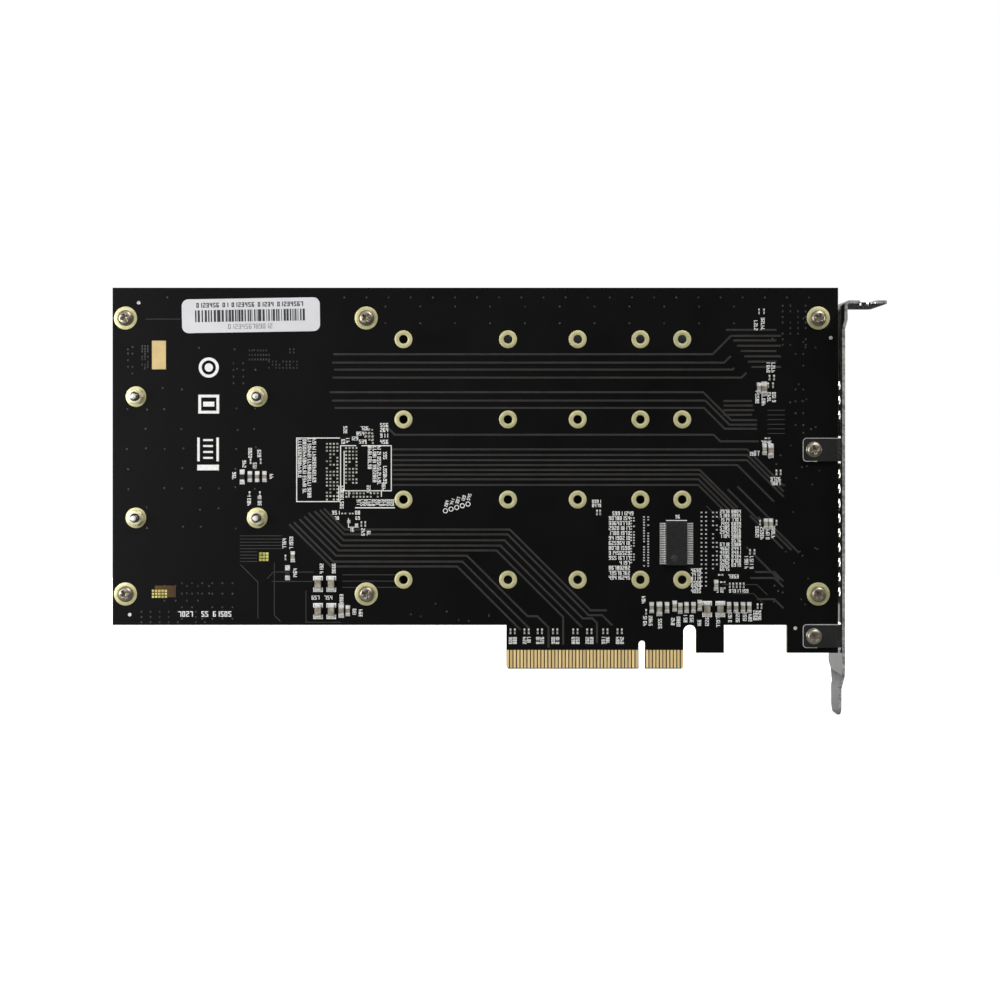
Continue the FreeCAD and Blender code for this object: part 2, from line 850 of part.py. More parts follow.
carrier_top = part_face + chip_carrier_thickness
chip_carrier = box(
    centred(chip_x, chip_size), (part_face, carrier_top), centred(chip_level, chip_size)
)
chip_cap_size = chip_size - 2 * chip_cap_inset
chip_cap = box(
    centred(chip_x, chip_cap_size), (carrier_top, chip_top), centred(chip_level, chip_cap_size)
)
save("switch_chip", chip_carrier.fuse(chip_cap))
save(
    "chip_pad",
    box(
        centred(chip_x, chip_cap_size), (chip_top, chip_top + chip_pad_thickness),
        centred(chip_level, chip_cap_size),
    ),
)
for row, row_level in enumerate(drive_row_levels, start=1):
    save("drive_socket_%d" % row, make_socket(row_level))
    save(
        "drive_pad_%d" % row,
        box(
            (drives_end + drive_pad_end_gap, drive_datum - socket_grip - drive_pad_end_gap),
            (cover_under - drive_pad_thickness, cover_under),
            centred(row_level, drive_pad_width),
        ),
    )

clock_y = (solder_face - clock_thickness, solder_face)
save(
    "clock_chip",
    moulded_block((clock_x, clock_level), (clock_width, clock_length), clock_y, clock_draft),
)
save(
    "supply_capacitors",
    [
        box(
            centred(supply_capacitor_x + i * supply_capacitor_pitch[0] / 2, supply_capacitor_size[0]),
            (solder_face - supply_capacitor_size[1], solder_face),
            centred(supply_capacitor_level + k * supply_capacitor_pitch[1] / 2, supply_capacitor_size[2]),
        )
        for i in (-1, 1)
        for k in (-1, 1)
    ],
)
save("power_inductors", [make_inductor(level) for level in inductor_levels])
save(
    "power_controllers",
    [
        box(
            centred(controller_x, controller_size), (part_face, part_face + controller_height),
            centred(level, controller_size),
        )
        for level in inductor_levels
    ],
)
save(
    "bulk_capacitors",
    [
        box(
            centred(x, bulk_capacitor_size[0]), (part_face, part_face + bulk_capacitor_size[1]),
            centred(bulk_capacitor_level, bulk_capacitor_size[2]),
        )
        for x in bulk_capacitor_x
    ],
)
save(
    "memory_chip",
    box(
        centred(chip_x, memory_size[0]), (part_face, part_face + memory_size[1]),
        centred(memory_level, memory_size[2]),
    ),
)
save(
    "crystal",
    box(
        centred(chip_x, crystal_size[0]), (part_face, part_face + crystal_size[1]),
        centred(crystal_level, crystal_size[2]),
    ),
)
header_shell, header_pin_set = make_header()
save("fan_header", header_shell)
save("fan_header_pins", header_pin_set)
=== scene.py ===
import json
import math

import bmesh
import bpy
import numpy as np
from bpy.props import FloatProperty, FloatVectorProperty, IntProperty, PointerProperty
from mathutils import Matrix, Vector


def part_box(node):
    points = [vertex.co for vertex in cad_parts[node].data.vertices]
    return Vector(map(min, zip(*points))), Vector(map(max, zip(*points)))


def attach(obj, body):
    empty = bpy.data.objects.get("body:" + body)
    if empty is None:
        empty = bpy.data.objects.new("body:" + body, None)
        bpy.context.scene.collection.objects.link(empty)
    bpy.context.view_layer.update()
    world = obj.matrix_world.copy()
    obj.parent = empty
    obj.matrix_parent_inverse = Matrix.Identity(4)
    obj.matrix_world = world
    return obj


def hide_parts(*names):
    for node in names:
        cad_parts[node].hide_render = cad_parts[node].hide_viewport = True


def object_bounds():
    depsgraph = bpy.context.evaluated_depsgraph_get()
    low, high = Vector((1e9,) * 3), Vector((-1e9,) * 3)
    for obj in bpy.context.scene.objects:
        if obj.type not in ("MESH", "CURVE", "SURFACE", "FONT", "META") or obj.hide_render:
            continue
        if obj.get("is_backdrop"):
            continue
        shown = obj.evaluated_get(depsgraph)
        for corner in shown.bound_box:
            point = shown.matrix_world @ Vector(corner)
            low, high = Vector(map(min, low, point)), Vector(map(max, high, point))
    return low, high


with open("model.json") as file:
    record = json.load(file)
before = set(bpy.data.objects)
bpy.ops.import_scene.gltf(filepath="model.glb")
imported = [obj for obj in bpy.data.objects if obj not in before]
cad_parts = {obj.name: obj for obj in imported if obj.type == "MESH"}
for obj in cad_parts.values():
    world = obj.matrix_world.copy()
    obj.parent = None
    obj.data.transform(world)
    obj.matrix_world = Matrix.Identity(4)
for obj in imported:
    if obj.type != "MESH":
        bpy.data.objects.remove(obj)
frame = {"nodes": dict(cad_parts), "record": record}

bl_info = {
    "name": "Drive adapter card looks",
    "version": (1, 0, 0),
    "blender": (4, 5, 0),
    "location": "3D View > Sidebar > Card",
    "description": "Finishes, copper, print, small parts and studio for a drive adapter card",
    "category": "Object",
}

MM = 0.001

# Levels over the board's faces, in millimetres; what stands on a face is sunk into it a little
SINK = 0.01
FILM_HEIGHT = 0.02
TRACK_HEIGHT = 0.03
INK_HEIGHT = 0.045
PAD_HEIGHT = 0.05
BUMP_HEIGHT = 0.11
LABEL_HEIGHT = 0.12

# Sizes that the looks share with the solids, in millimetres
DRIVE_HOLE_RADIUS = 1.27
BRACKET_SHEET = 0.86
TAB_HEIGHT = 6.6

# ---------------------------------------------------------------------------------------
# Places that the frame gives, in millimetres
# ---------------------------------------------------------------------------------------


def node_limits(name):
    """The lowest and highest corner of a CAD node, in millimetres."""
    low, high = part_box(name)
    return np.array(low) / MM, np.array(high) / MM


def levels(name):
    """The lowest and highest Y of a CAD node, in millimetres."""
    low, high = node_limits(name)
    return low[1], high[1]


def solid_middles(name, reach):
    """The (x, z) middle of each separate solid of a node, for solids further apart than reach."""
    mesh = frame["nodes"][name].data
    points = np.empty(len(mesh.vertices) * 3)
    mesh.vertices.foreach_get("co", points)
    left = points.reshape(-1, 3)[:, [0, 2]] / MM
    middles = []
    while len(left):
        near = np.linalg.norm(left - left[0], axis=1) < reach
        middles.append((left[near].min(0) + left[near].max(0)) / 2)
        left = left[~near]
    return np.array(sorted(map(tuple, middles)))


def drive_holes():
    """Every drive hole's (x, z), from the bolt patterns in the record."""
    places = set()
    for mount in frame["record"]["mounts"]:
        if mount["kind"] == "bolt_pattern":
            x, _, z = (value / MM for value in mount["pos_m"])
            half_x = mount["dims"].get("spacing_x_mm", 0) / 2
            half_z = mount["dims"]["spacing_y_mm"] / 2
            for sx in (-1, 1):
                for sz in (-1, 1):
                    places.add((round(x + sx * half_x, 3), round(z + sz * half_z, 3)))
    return np.array(sorted(places))


SOLDER_FACE, PART_FACE = levels("board")
# The level from which everything on the solder face stands
FOOT = SOLDER_FACE + SINK
COVER_SCREWS = solid_middles("cover_screws", 8)
FAN_NUTS = solid_middles("fan_nuts", 8)
BRACKET_SCREWS = solid_middles("bracket_screws", 8)

# ---------------------------------------------------------------------------------------
# Sizes and colours that a user may change
# ---------------------------------------------------------------------------------------


def colour(name, value, description):
    """A colour property with its default."""
    return FloatVectorProperty(
        name=name, description=description, subtype="COLOR", size=3, min=0, max=1, default=value
    )


class CardBoardLook(bpy.types.PropertyGroup):
    mask_colour: colour("Solder mask", (0.0026, 0.0025, 0.0028), "Colour of the matt black mask")
    copper_shade: colour("Covered copper", (0.050, 0.048, 0.045), "Mask where copper lies under it")
    ink_colour: colour("Ink", (0.90, 0.91, 0.88), "Colour of the white print")
    gold_colour: colour("Contact gold", (0.88, 0.66, 0.305), "Colour of the contacts' gold")
    ring_colour: colour("Ring plating", (0.75, 0.71, 0.38), "Colour of the pale gold round holes")
    track_width: FloatProperty(
        name="Track width", description="Width of one track, in millimetres", default=0.16, min=0.05
    )
    track_gap: FloatProperty(
        name="Pair gap", description="Gap between the tracks of a pair, in millimetres",
        default=0.14,
    )
    ring_radius: FloatProperty(
        name="Ring radius", description="Outer radius of a drive hole's ring, in mm", default=2.55
    )
    screw_pad_radius: FloatProperty(
        name="Screw pad radius", description="Radius of a cover screw's pad, in mm", default=3.3
    )
    nut_pad_radius: FloatProperty(
        name="Nut pad radius", description="Radius of a fan nut's pad, in mm", default=2.95
    )
    seed: IntProperty(name="Seed", description="Start of the random marks", default=41)


class CardMetalLook(bpy.types.PropertyGroup):
    steel_colour: colour("Bracket", (0.60, 0.60, 0.59), "Colour of the plated steel bracket")
    screw_colour: colour("Screws", (0.38, 0.34, 0.27), "Colour of the plated screws")
    cover_colour: colour("Cover", (0.018, 0.018, 0.019), "Colour of the anodised cover")
    fan_colour: colour("Fan", (0.016, 0.016, 0.017), "Colour of the fan's plastic")


class CardLabelLook(bpy.types.PropertyGroup):
    width: FloatProperty(name="Width", description="Width of the label, in mm", default=39.6)
    height: FloatProperty(name="Height", description="Height of the label, in mm", default=9.7)
    tilt: FloatProperty(
        name="Tilt", description="How far the label is turned", subtype="ANGLE",
        default=math.radians(0.95),
    )
    paper_colour: colour("Paper", (0.69, 0.69, 0.71), "Colour of the label's paper")


class CardStageLook(bpy.types.PropertyGroup):
    camera_distance: FloatProperty(
        name="Camera distance", description="Distance from the board, in metres",
        subtype="DISTANCE", default=0.455,
    )
    lens: FloatProperty(name="Lens", description="Focal length, in millimetres", default=57.08)
    key_power: FloatProperty(
        name="Key light", description="Power of the key light, in watts", default=2.1
    )
    fill_power: FloatProperty(
        name="Fill light", description="Power of the fill light, in watts", default=5
    )


# ---------------------------------------------------------------------------------------
# Meshes from arrays
# ---------------------------------------------------------------------------------------


def grid_quads(rows, columns, close_rows=False):
    """The quads of a grid of points: its columns close round, and its rows too if asked."""
    i = np.arange(rows if close_rows else rows - 1)[:, None]
    j = np.arange(columns)[None, :]
    below, beside = (i + 1) % rows, (j + 1) % columns
    corners = (i * columns + j, below * columns + j, below * columns + beside, i * columns + beside)
    return np.stack([np.broadcast_to(c, (len(i), columns)) for c in corners], -1).reshape(-1, 4)


def copies(points, faces, count):
    """The faces of many equal shapes whose points lie one after another."""
    shift = np.arange(count)[:, None, None] * points
    return (faces[None] + shift).reshape(-1, faces.shape[-1])


def prisms(outlines, top, base):
    """Closed prisms: each outline of (x, z) corners stands from the base level to the top one.

    Point k of level l of outline n is (outline[n, k].x, level[l], outline[n, k].z).
    """
    outlines = np.asarray(outlines, float)
    count, corners = outlines.shape[:2]
    points = np.empty((count, 2, corners, 3))
    points[..., 0] = outlines[:, None, :, 0]
    points[..., 2] = outlines[:, None, :, 1]
    points[:, 0, :, 1] = top
    points[:, 1, :, 1] = base
    ring = np.arange(corners)
    after = (ring + 1) % corners
    sides = np.stack([ring, ring + corners, after + corners, after], -1)
    caps = np.stack([ring, ring[::-1] + corners])
    total = 2 * corners
    return points.reshape(-1, 3), [copies(total, sides, count), copies(total, caps, count)]


def rotation(angle):
    """The matrix that turns rows of (x, z) by an angle."""
    return np.array([(math.cos(angle), math.sin(angle)), (-math.sin(angle), math.cos(angle))])


def drafted_blocks(middles, size, top, base, inset, turn=0.0):
    """Blocks whose top is smaller than their base by an inset on every side.

    The four base corners are (+-w/2, +-h/2) turned by an angle, and the four top corners are
    the same with the inset taken off both halves.
    """
    middles = np.asarray(middles, float).reshape(-1, 2)
    signs = np.array([(-1, -1), (1, -1), (1, 1), (-1, 1)], float)
    points = np.empty((len(middles), 2, 4, 3))
    for level, (y, less) in enumerate(((top, inset), (base, 0))):
        corners = signs * (np.array(size) / 2 - less) @ rotation(turn)
        points[:, level, :, 0] = middles[:, None, 0] + corners[None, :, 0]
        points[:, level, :, 2] = middles[:, None, 1] + corners[None, :, 1]
        points[:, level, :, 1] = y
    ring = np.arange(4)
    sides = np.stack([ring, ring + 4, (ring + 1) % 4 + 4, (ring + 1) % 4], -1)
    faces = np.concatenate([sides, [ring, ring[::-1] + 4]])
    return points.reshape(-1, 3), [copies(8, faces, len(middles))]


def on_solder(height):
    """The Y of a level over the solder face."""
    return SOLDER_FACE - height


def solder_prisms(outlines, height=INK_HEIGHT):
    """Prisms that stand on the solder face, by default as high as print."""
    return prisms(outlines, on_solder(height), FOOT)


def solder_blocks(middles, size, height, inset, turn=0.0):
    """Drafted blocks that stand on the solder face."""
    return drafted_blocks(middles, size, on_solder(height), FOOT, inset, turn)


def turned(radius, height, places, seat, outward, close_rows=False, turns=None):
    """Turned shapes on axes along Y, whose radius and height may vary round the turn.

    Point (i, j) is at radius[i, j] from the axis in the direction 2 pi j / columns plus the
    copy's own turn, and at the seat plus outward times height[i, j].
    """
    places = np.asarray(places, float).reshape(-1, 2)
    turns = np.zeros(len(places)) if turns is None else np.asarray(turns, float)
    radius, height = np.broadcast_arrays(radius, height)
    rows, columns = radius.shape
    angle = 2 * np.pi * np.arange(columns) / columns + turns[:, None]
    points = np.empty((len(places), rows, columns, 3))
    points[..., 0] = places[:, 0, None, None] + radius * np.cos(angle)[:, None, :]
    points[..., 1] = seat + outward * height
    points[..., 2] = places[:, 1, None, None] + radius * np.sin(angle)[:, None, :]
    quads = grid_quads(rows, columns, close_rows)
    return points.reshape(-1, 3), [copies(rows * columns, quads, len(places))]


def column(values, columns):
    """A profile's values, repeated round the turn."""
    return np.repeat(np.asarray(values, float)[:, None], columns, axis=1)


def sideways(path):
    """Per point of a bent path, the mitred step that moves it sideways by one unit."""
    step = np.diff(path, axis=0)
    step /= np.linalg.norm(step, axis=1, keepdims=True)
    normal = np.stack([-step[:, 1], step[:, 0]], -1)
    before = np.concatenate([normal[:1], normal])
    after = np.concatenate([normal, normal[-1:]])
    return (before + after) / (1 + (before * after).sum(1, keepdims=True))


def ridge(path, width, height, lean, face=None):
    """A low flat-topped ridge carried along a bent path on a face, by default the solder one.

    Its section has four corners: the foot is wider than the top by the lean on each side,
    and point (i, k) is the path's point i moved sideways by corner k's offset.
    """
    path = np.asarray(path, float)
    side = sideways(path)
    offset = np.array([-width / 2 - lean, -width / 2, width / 2, width / 2 + lean])
    face = SOLDER_FACE if face is None else face
    level = face + np.array([SINK, -height, -height, SINK])
    points = np.empty((len(path), 4, 3))
    points[..., 0] = path[:, 0, None] + side[:, 0, None] * offset
    points[..., 2] = path[:, 1, None] + side[:, 1, None] * offset
    points[..., 1] = level
    ends = np.array([[0, 1, 2, 3], [4 * len(path) - 1 - k for k in range(4)]])
    return points.reshape(-1, 3), [grid_quads(len(path), 4), ends]


def join(parts):
    """One (points, faces) part out of several."""
    points, faces, first = [], [], 0
    for part_points, blocks in parts:
        points.append(part_points)
        faces += [block + first for block in blocks]
        first += len(part_points)
    return np.concatenate(points), faces


def add_piece(name, parts, look, body="card", smooth=None, replaces=()):
    """Make one mesh object from closed parts in a finish, and ride it on a body."""
    points, blocks = join(parts if isinstance(parts, list) else [parts])
    mesh = bpy.data.meshes.new(name)
    mesh.from_pydata((points * MM).tolist(), [], [f for block in blocks for f in block.tolist()])
    filled = bmesh.new()
    filled.from_mesh(mesh)
    if smooth is not None:
        bmesh.ops.remove_doubles(filled, verts=filled.verts, dist=1e-7)
    bmesh.ops.recalc_face_normals(filled, faces=filled.faces)
    filled.to_mesh(mesh)
    filled.free()
    if smooth is not None:
        mesh.shade_smooth()
        mesh.set_sharp_from_angle(angle=math.radians(smooth))
    mesh.materials.append(finish(look))
    piece = bpy.data.objects.new(name, mesh)
    bpy.context.scene.collection.objects.link(piece)
    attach(piece, body)
    if replaces:
        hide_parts(*replaces)


# ---------------------------------------------------------------------------------------
# Shared effects
# ---------------------------------------------------------------------------------------


class Tree:
    """Fills a node tree with nodes, values and links."""

    def __init__(self, tree):
        self.tree = tree

    def add(self, kind, sockets=None, **settings):
        """A new node, with its settings made and its sockets filled."""
        node = self.tree.nodes.new(kind)
        for key, value in settings.items():
            setattr(node, key, value)
        self.fill(node, sockets or {})
        return node

    def fill(self, node, sockets):
        """Link each input to the socket that is given for it, or set it to the value."""
        for key, value in sockets.items():
            if isinstance(value, bpy.types.NodeSocket):
                self.tree.links.new(value, node.inputs[key])
            else:
                node.inputs[key].default_value = value

    def maths(self, operation, *values):
        """The result of one sum on one or two values."""
        return self.add("ShaderNodeMath", dict(enumerate(values)), operation=operation).outputs[0]

    def ramp(self, value, low, high, start=0.0, end=1.0):
        """A value carried from one range over to another, and held at the ends."""
        limits = {"From Min": low, "From Max": high, "To Min": start, "To Max": end}
        return self.add("ShaderNodeMapRange", {"Value": value, **limits}).outputs["Result"]

    def axes(self, vector):
        """The X, Y and Z of a vector, as the outputs of a node."""
        return self.add("ShaderNodeSeparateXYZ", {0: vector}).outputs


def noise_group(name, scale, detail, extra, result, kind):
    """A group of noise on stretched Object coordinates: its tree, its inputs and the noise."""
    tree = bpy.data.node_groups.new(name, "ShaderNodeTree")
    usual = {"Stretch": ("NodeSocketVector", (1, 1, 1)), "Scale": ("NodeSocketFloat", scale)}
    values = {socket: ("NodeSocketFloat", value) for socket, value in extra.items()}
    for socket, (socket_type, value) in {**usual, **values}.items():
        made = tree.interface.new_socket(socket, in_out="INPUT", socket_type=socket_type)
        made.default_value = value
    tree.interface.new_socket(result, in_out="OUTPUT", socket_type=kind)
    t = Tree(tree)
    given = t.add("NodeGroupInput").outputs
    place = t.add("ShaderNodeTexCoord").outputs["Object"]
    stretched = t.add("ShaderNodeVectorMath", {0: place, 1: given["Stretch"]}, operation="MULTIPLY")
    noise = t.add(
        "ShaderNodeTexNoise",
        {"Vector": stretched.outputs[0], "Scale": given["Scale"], "Detail": detail},
    )
    return t, given, noise.outputs["Fac"]


def mottle_group():
    """Cloudy noise on Object coordinates, stretched on each axis and spread between two values."""
    extra = {"Low": 0.0, "High": 1.0}
    t, given, noise = noise_group("Mottle", 200.0, 4.0, extra, "Value", "NodeSocketFloat")
    spread = t.ramp(noise, 0.32, 0.68, given["Low"], given["High"])
    t.add("NodeGroupOutput", {"Value": spread})
    return t.tree


def grain_group():
    """A fine bump from stretched noise, put out as a normal."""
    extra = {"Depth": 0.00001}
    t, given, noise = noise_group("Grain", 2000.0, 3.0, extra, "Normal", "NodeSocketVector")
    depth = t.maths("MULTIPLY", noise, given["Depth"])
    bump = t.add("ShaderNodeBump", {"Height": depth, "Strength": 1.0, "Distance": 1.0})
    t.add("NodeGroupOutput", {"Normal": bump.outputs["Normal"]})
    return t.tree


def mottle(t, scale, low=0.0, high=1.0, stretch=(1, 1, 1)):
    """Place the shared mottle in a material and give back its value."""
    group = bpy.data.node_groups.get("Mottle") or mottle_group()
    values = {"Stretch": stretch, "Scale": scale, "Low": low, "High": high}
    return t.add("ShaderNodeGroup", values, node_tree=group).outputs["Value"]


def grain(t, scale, depth, stretch=(1, 1, 1)):
    """Place the shared grain in a material and give back its normal."""
    group = bpy.data.node_groups.get("Grain") or grain_group()
    values = {"Stretch": stretch, "Scale": scale, "Depth": depth}
    return t.add("ShaderNodeGroup", values, node_tree=group).outputs["Normal"]


def blend(t, share, *ends):
    """A colour between two, each a socket or a plain colour, by a share."""
    first, second = (v if isinstance(v, bpy.types.NodeSocket) else (*v, 1) for v in ends)
    return t.add("ShaderNodeMix", {0: share, 6: first, 7: second}, data_type="RGBA").outputs[2]


def shade(base, factor):
    """A colour made darker or lighter."""
    return tuple(min(1.0, value * factor) for value in base)


def new_material(name):
    """An empty material with a Principled shader: the material, its tree and the shader."""
    material = bpy.data.materials.new(name)
    material.use_nodes = True
    material.node_tree.nodes.clear()
    t = Tree(material.node_tree)
    shader = t.add("ShaderNodeBsdfPrincipled")
    t.add("ShaderNodeOutputMaterial", {0: shader.outputs[0]})
    return material, t, shader


# ---------------------------------------------------------------------------------------
# Finishes
# ---------------------------------------------------------------------------------------

# What a finish is where its own row says nothing else: how fine its clouds and its grain are,
# how deep the grain is in metres, and how far the noise is squeezed along each axis
USUAL_FINISH = dict(
    cloud=300, metallic=0.0, rough=(0.4, 0.55), grain_scale=3000, grain_depth=4e-6,
    stretch=(1, 1, 1), specular=0.5,
)

# Each finish wanders between two colours. One in a colour of the user's gives the group and
# the property, and the two factors that the colour is taken times
FINISHES = {
    "Covered copper": dict(
        own=("card_board", "copper_shade", 0.8, 1), cloud=220, rough=(0.42, 0.52), specular=0.2,
        grain_scale=1500, grain_depth=3e-6,
    ),
    "White ink": dict(
        own=("card_board", "ink_colour", 0.84, 1), cloud=1500, rough=(0.6, 0.8), specular=0.3,
    ),
    "Pad gold": dict(
        own=("card_board", "gold_colour", 0.666, 0.74), metallic=0.4, rough=(0.4, 0.52),
    ),
    "Ring plating": dict(
        own=("card_board", "ring_colour", 0.8, 1), cloud=420, metallic=0.5, rough=(0.38, 0.52),
        grain_scale=2400, grain_depth=1e-5,
    ),
    "Plated screws": dict(
        own=("card_metal", "screw_colour", 0.8, 1), cloud=700, metallic=0.9, rough=(0.3, 0.44),
        grain_scale=2500, grain_depth=2e-6,
    ),
    "Black anodised": dict(
        own=("card_metal", "cover_colour", 0.8, 1.5), cloud=240, metallic=0.5, rough=(0.28, 0.4),
        grain_scale=3400, grain_depth=7e-6, stretch=(0.05, 1, 1),
    ),
    "Fan plastic": dict(
        own=("card_metal", "fan_colour", 1, 1.7), rough=(0.42, 0.58), grain_scale=2400,
        grain_depth=9e-6,
    ),
    "Label paper": dict(
        own=("card_label", "paper_colour", 0.94, 1), cloud=130, rough=(0.42, 0.55),
        grain_scale=1800,
    ),
    "Label ink": dict(dark=(0.016, 0.016, 0.017), light=(0.03, 0.03, 0.03), cloud=600),
    "Grey label ink": dict(dark=(0.16, 0.16, 0.16), light=(0.3, 0.3, 0.3), cloud=600),
    "Covered vias": dict(
        dark=(0.018, 0.018, 0.018), light=(0.07, 0.07, 0.067), cloud=150, rough=(0.3, 0.45),
        specular=0.4,
    ),
    "Thin mask on copper": dict(
        dark=(0.05, 0.022, 0.008), light=(0.13, 0.06, 0.02), rough=(0.4, 0.5), specular=0.3,
    ),
    "Bright gold": dict(
        dark=(0.46, 0.44, 0.09), light=(0.86, 0.83, 0.30), cloud=420, metallic=0.5,
        rough=(0.35, 0.5),
    ),
    "Dull pads": dict(
        dark=(0.30, 0.29, 0.24), light=(0.80, 0.78, 0.70), cloud=500, metallic=0.3,
        rough=(0.35, 0.5),
    ),
    "Tinned solder": dict(
        dark=(0.66, 0.66, 0.64), light=(0.95, 0.95, 0.92), cloud=900, metallic=0.45,
        rough=(0.25, 0.5), grain_scale=2400, grain_depth=1.6e-5,
    ),
    "Brown ceramic": dict(
        dark=(0.17, 0.15, 0.115), light=(0.40, 0.37, 0.30), cloud=900, rough=(0.35, 0.5),
        grain_scale=4000, grain_depth=5e-6,
    ),
    "Chip moulding": dict(
        dark=(0.012, 0.012, 0.0125), light=(0.02, 0.02, 0.0205), cloud=1200, rough=(0.5, 0.66),
        grain_scale=6000, grain_depth=1.2e-5, specular=0.22,
    ),
    "Moulded dimple": dict(
        dark=(0.03, 0.03, 0.031), light=(0.055, 0.055, 0.056), rough=(0.2, 0.3),
    ),
    "Capacitor moulding": dict(
        dark=(0.035, 0.033, 0.03), light=(0.06, 0.055, 0.048), cloud=500,
    ),
    "Pressed iron powder": dict(
        dark=(0.05, 0.05, 0.053), light=(0.14, 0.14, 0.145), cloud=1600, rough=(0.5, 0.7),
        grain_depth=2e-5,
    ),
    "Nickel can": dict(
        dark=(0.5, 0.5, 0.5), light=(0.72, 0.72, 0.71), metallic=0.95, rough=(0.2, 0.34),
    ),
    "Soft heat pad": dict(
        dark=(0.20, 0.22, 0.25), light=(0.27, 0.30, 0.34), cloud=260, rough=(0.65, 0.85),
        grain_scale=900, grain_depth=4e-5, specular=0.3,
    ),
    "Socket plastic": dict(
        dark=(0.018, 0.018, 0.019), light=(0.03, 0.03, 0.031), cloud=340, rough=(0.36, 0.5),
        grain_scale=2600, grain_depth=6e-6, stretch=(1, 1, 0.3),
    ),
    "White nylon": dict(
        dark=(0.66, 0.63, 0.56), light=(0.78, 0.76, 0.70), rough=(0.35, 0.5),
    ),
    "Yellow nuts": dict(
        dark=(0.66, 0.60, 0.42), light=(0.90, 0.84, 0.62), cloud=800, metallic=0.55,
        rough=(0.35, 0.5), grain_scale=2500, grain_depth=2e-6,
    ),
    # Painted highlight: the bright strips on the tabs' edges stand for the light that those edges
    # catch
    "Worn steel edge": dict(
        dark=(0.34, 0.34, 0.34), light=(0.9, 0.9, 0.88), cloud=110, metallic=0.2,
        rough=(0.25, 0.4),
    ),
    "Turned brass": dict(
        dark=(0.52, 0.38, 0.16), light=(0.74, 0.58, 0.28), cloud=420, metallic=0.95,
        rough=(0.22, 0.36), stretch=(0.2, 1, 0.2),
    ),
    "Stacked iron": dict(
        dark=(0.10, 0.095, 0.09), light=(0.26, 0.25, 0.24), cloud=900, metallic=0.8,
        stretch=(0.1, 3, 0.1),
    ),
    "Sintered bronze": dict(
        dark=(0.30, 0.19, 0.10), light=(0.46, 0.32, 0.18), cloud=1800, metallic=0.85,
        grain_scale=5000, grain_depth=1.5e-5,
    ),
    "Ground steel": dict(
        dark=(0.5, 0.5, 0.5), light=(0.66, 0.66, 0.66), metallic=0.95, rough=(0.12, 0.24),
        stretch=(1, 0.1, 1),
    ),
    "Hub paper": dict(
        dark=(0.30, 0.31, 0.33), light=(0.36, 0.37, 0.39), cloud=160, rough=(0.35, 0.5),
        grain_scale=1800,
    ),
    "Hub ink": dict(dark=(0.02, 0.02, 0.022), light=(0.04, 0.04, 0.042), cloud=600),
}


def finish(name):
    """One of the finishes: two colours and two roughnesses in clouds, with a fine grain."""
    material = bpy.data.materials.get(name)
    if material:
        return material
    look = {**USUAL_FINISH, **FINISHES[name]}
    if "own" in look:
        group, setting, darker, lighter = look["own"]
        base = getattr(getattr(bpy.context.scene, group), setting)
        dark, light = shade(base, darker), shade(base, lighter)
    else:
        dark, light = look["dark"], look["light"]
    cloud, stretch = look["cloud"], look["stretch"]
    material, t, shader = new_material(name)
    t.fill(shader, {
        "Base Color": blend(t, mottle(t, cloud, stretch=stretch), dark, light),
        "Roughness": mottle(t, cloud * 2.3, *look["rough"], stretch=stretch),
        "Normal": grain(t, look["grain_scale"], look["grain_depth"], stretch),
        "Metallic": look["metallic"],
        "Specular IOR Level": look["specular"],
    })
    return material


def board_material():
    """Black mask on both faces, and the cut laminate's layers where the face turns sideways."""
    mask = tuple(bpy.context.scene.card_board.mask_colour)
    material, t, shader = new_material("Solder mask")
    aim = t.axes(t.add("ShaderNodeNewGeometry").outputs["Normal"])
    is_face = t.maths("GREATER_THAN", t.maths("ABSOLUTE", aim["Y"]), 0.99)
    planes = blend(t, mottle(t, 18), shade(mask, 0.75), shade(mask, 1.3))
    layers = mottle(t, 60, stretch=(1, 26, 1))
    laminate = blend(t, layers, (0.06, 0.055, 0.02), (0.24, 0.225, 0.08))
    t.fill(shader, {
        "Base Color": blend(t, is_face, laminate, planes),
        "Roughness": mottle(t, 90, 0.46, 0.56),
        "Normal": grain(t, 1300, 2.5e-6),
        "Specular IOR Level": 0.10,
    })
    return material


def contact_material():
    """Gold contacts, each a little different, with painted highlight bands across them and slot
    wiping marks.
    """
    gold = tuple(bpy.context.scene.card_board.gold_colour)
    material, t, shader = new_material("Contact gold")
    # Painted highlight: the colour changes only across the contacts, lighter and darker in bands
    # about a millimetre wide, like the light that each contact catches
    each = mottle(t, 950, stretch=(1, 0, 0))
    t.fill(shader, {
        "Base Color": blend(t, each, shade(gold, 0.58), shade(gold, 1.12)),
        "Roughness": mottle(t, 900, 0.36, 0.6, stretch=(1, 1, 0.12)),
        "Normal": grain(t, 2200, 5e-6, (1, 1, 0.15)),
        "Metallic": 0.08,
    })
    return material


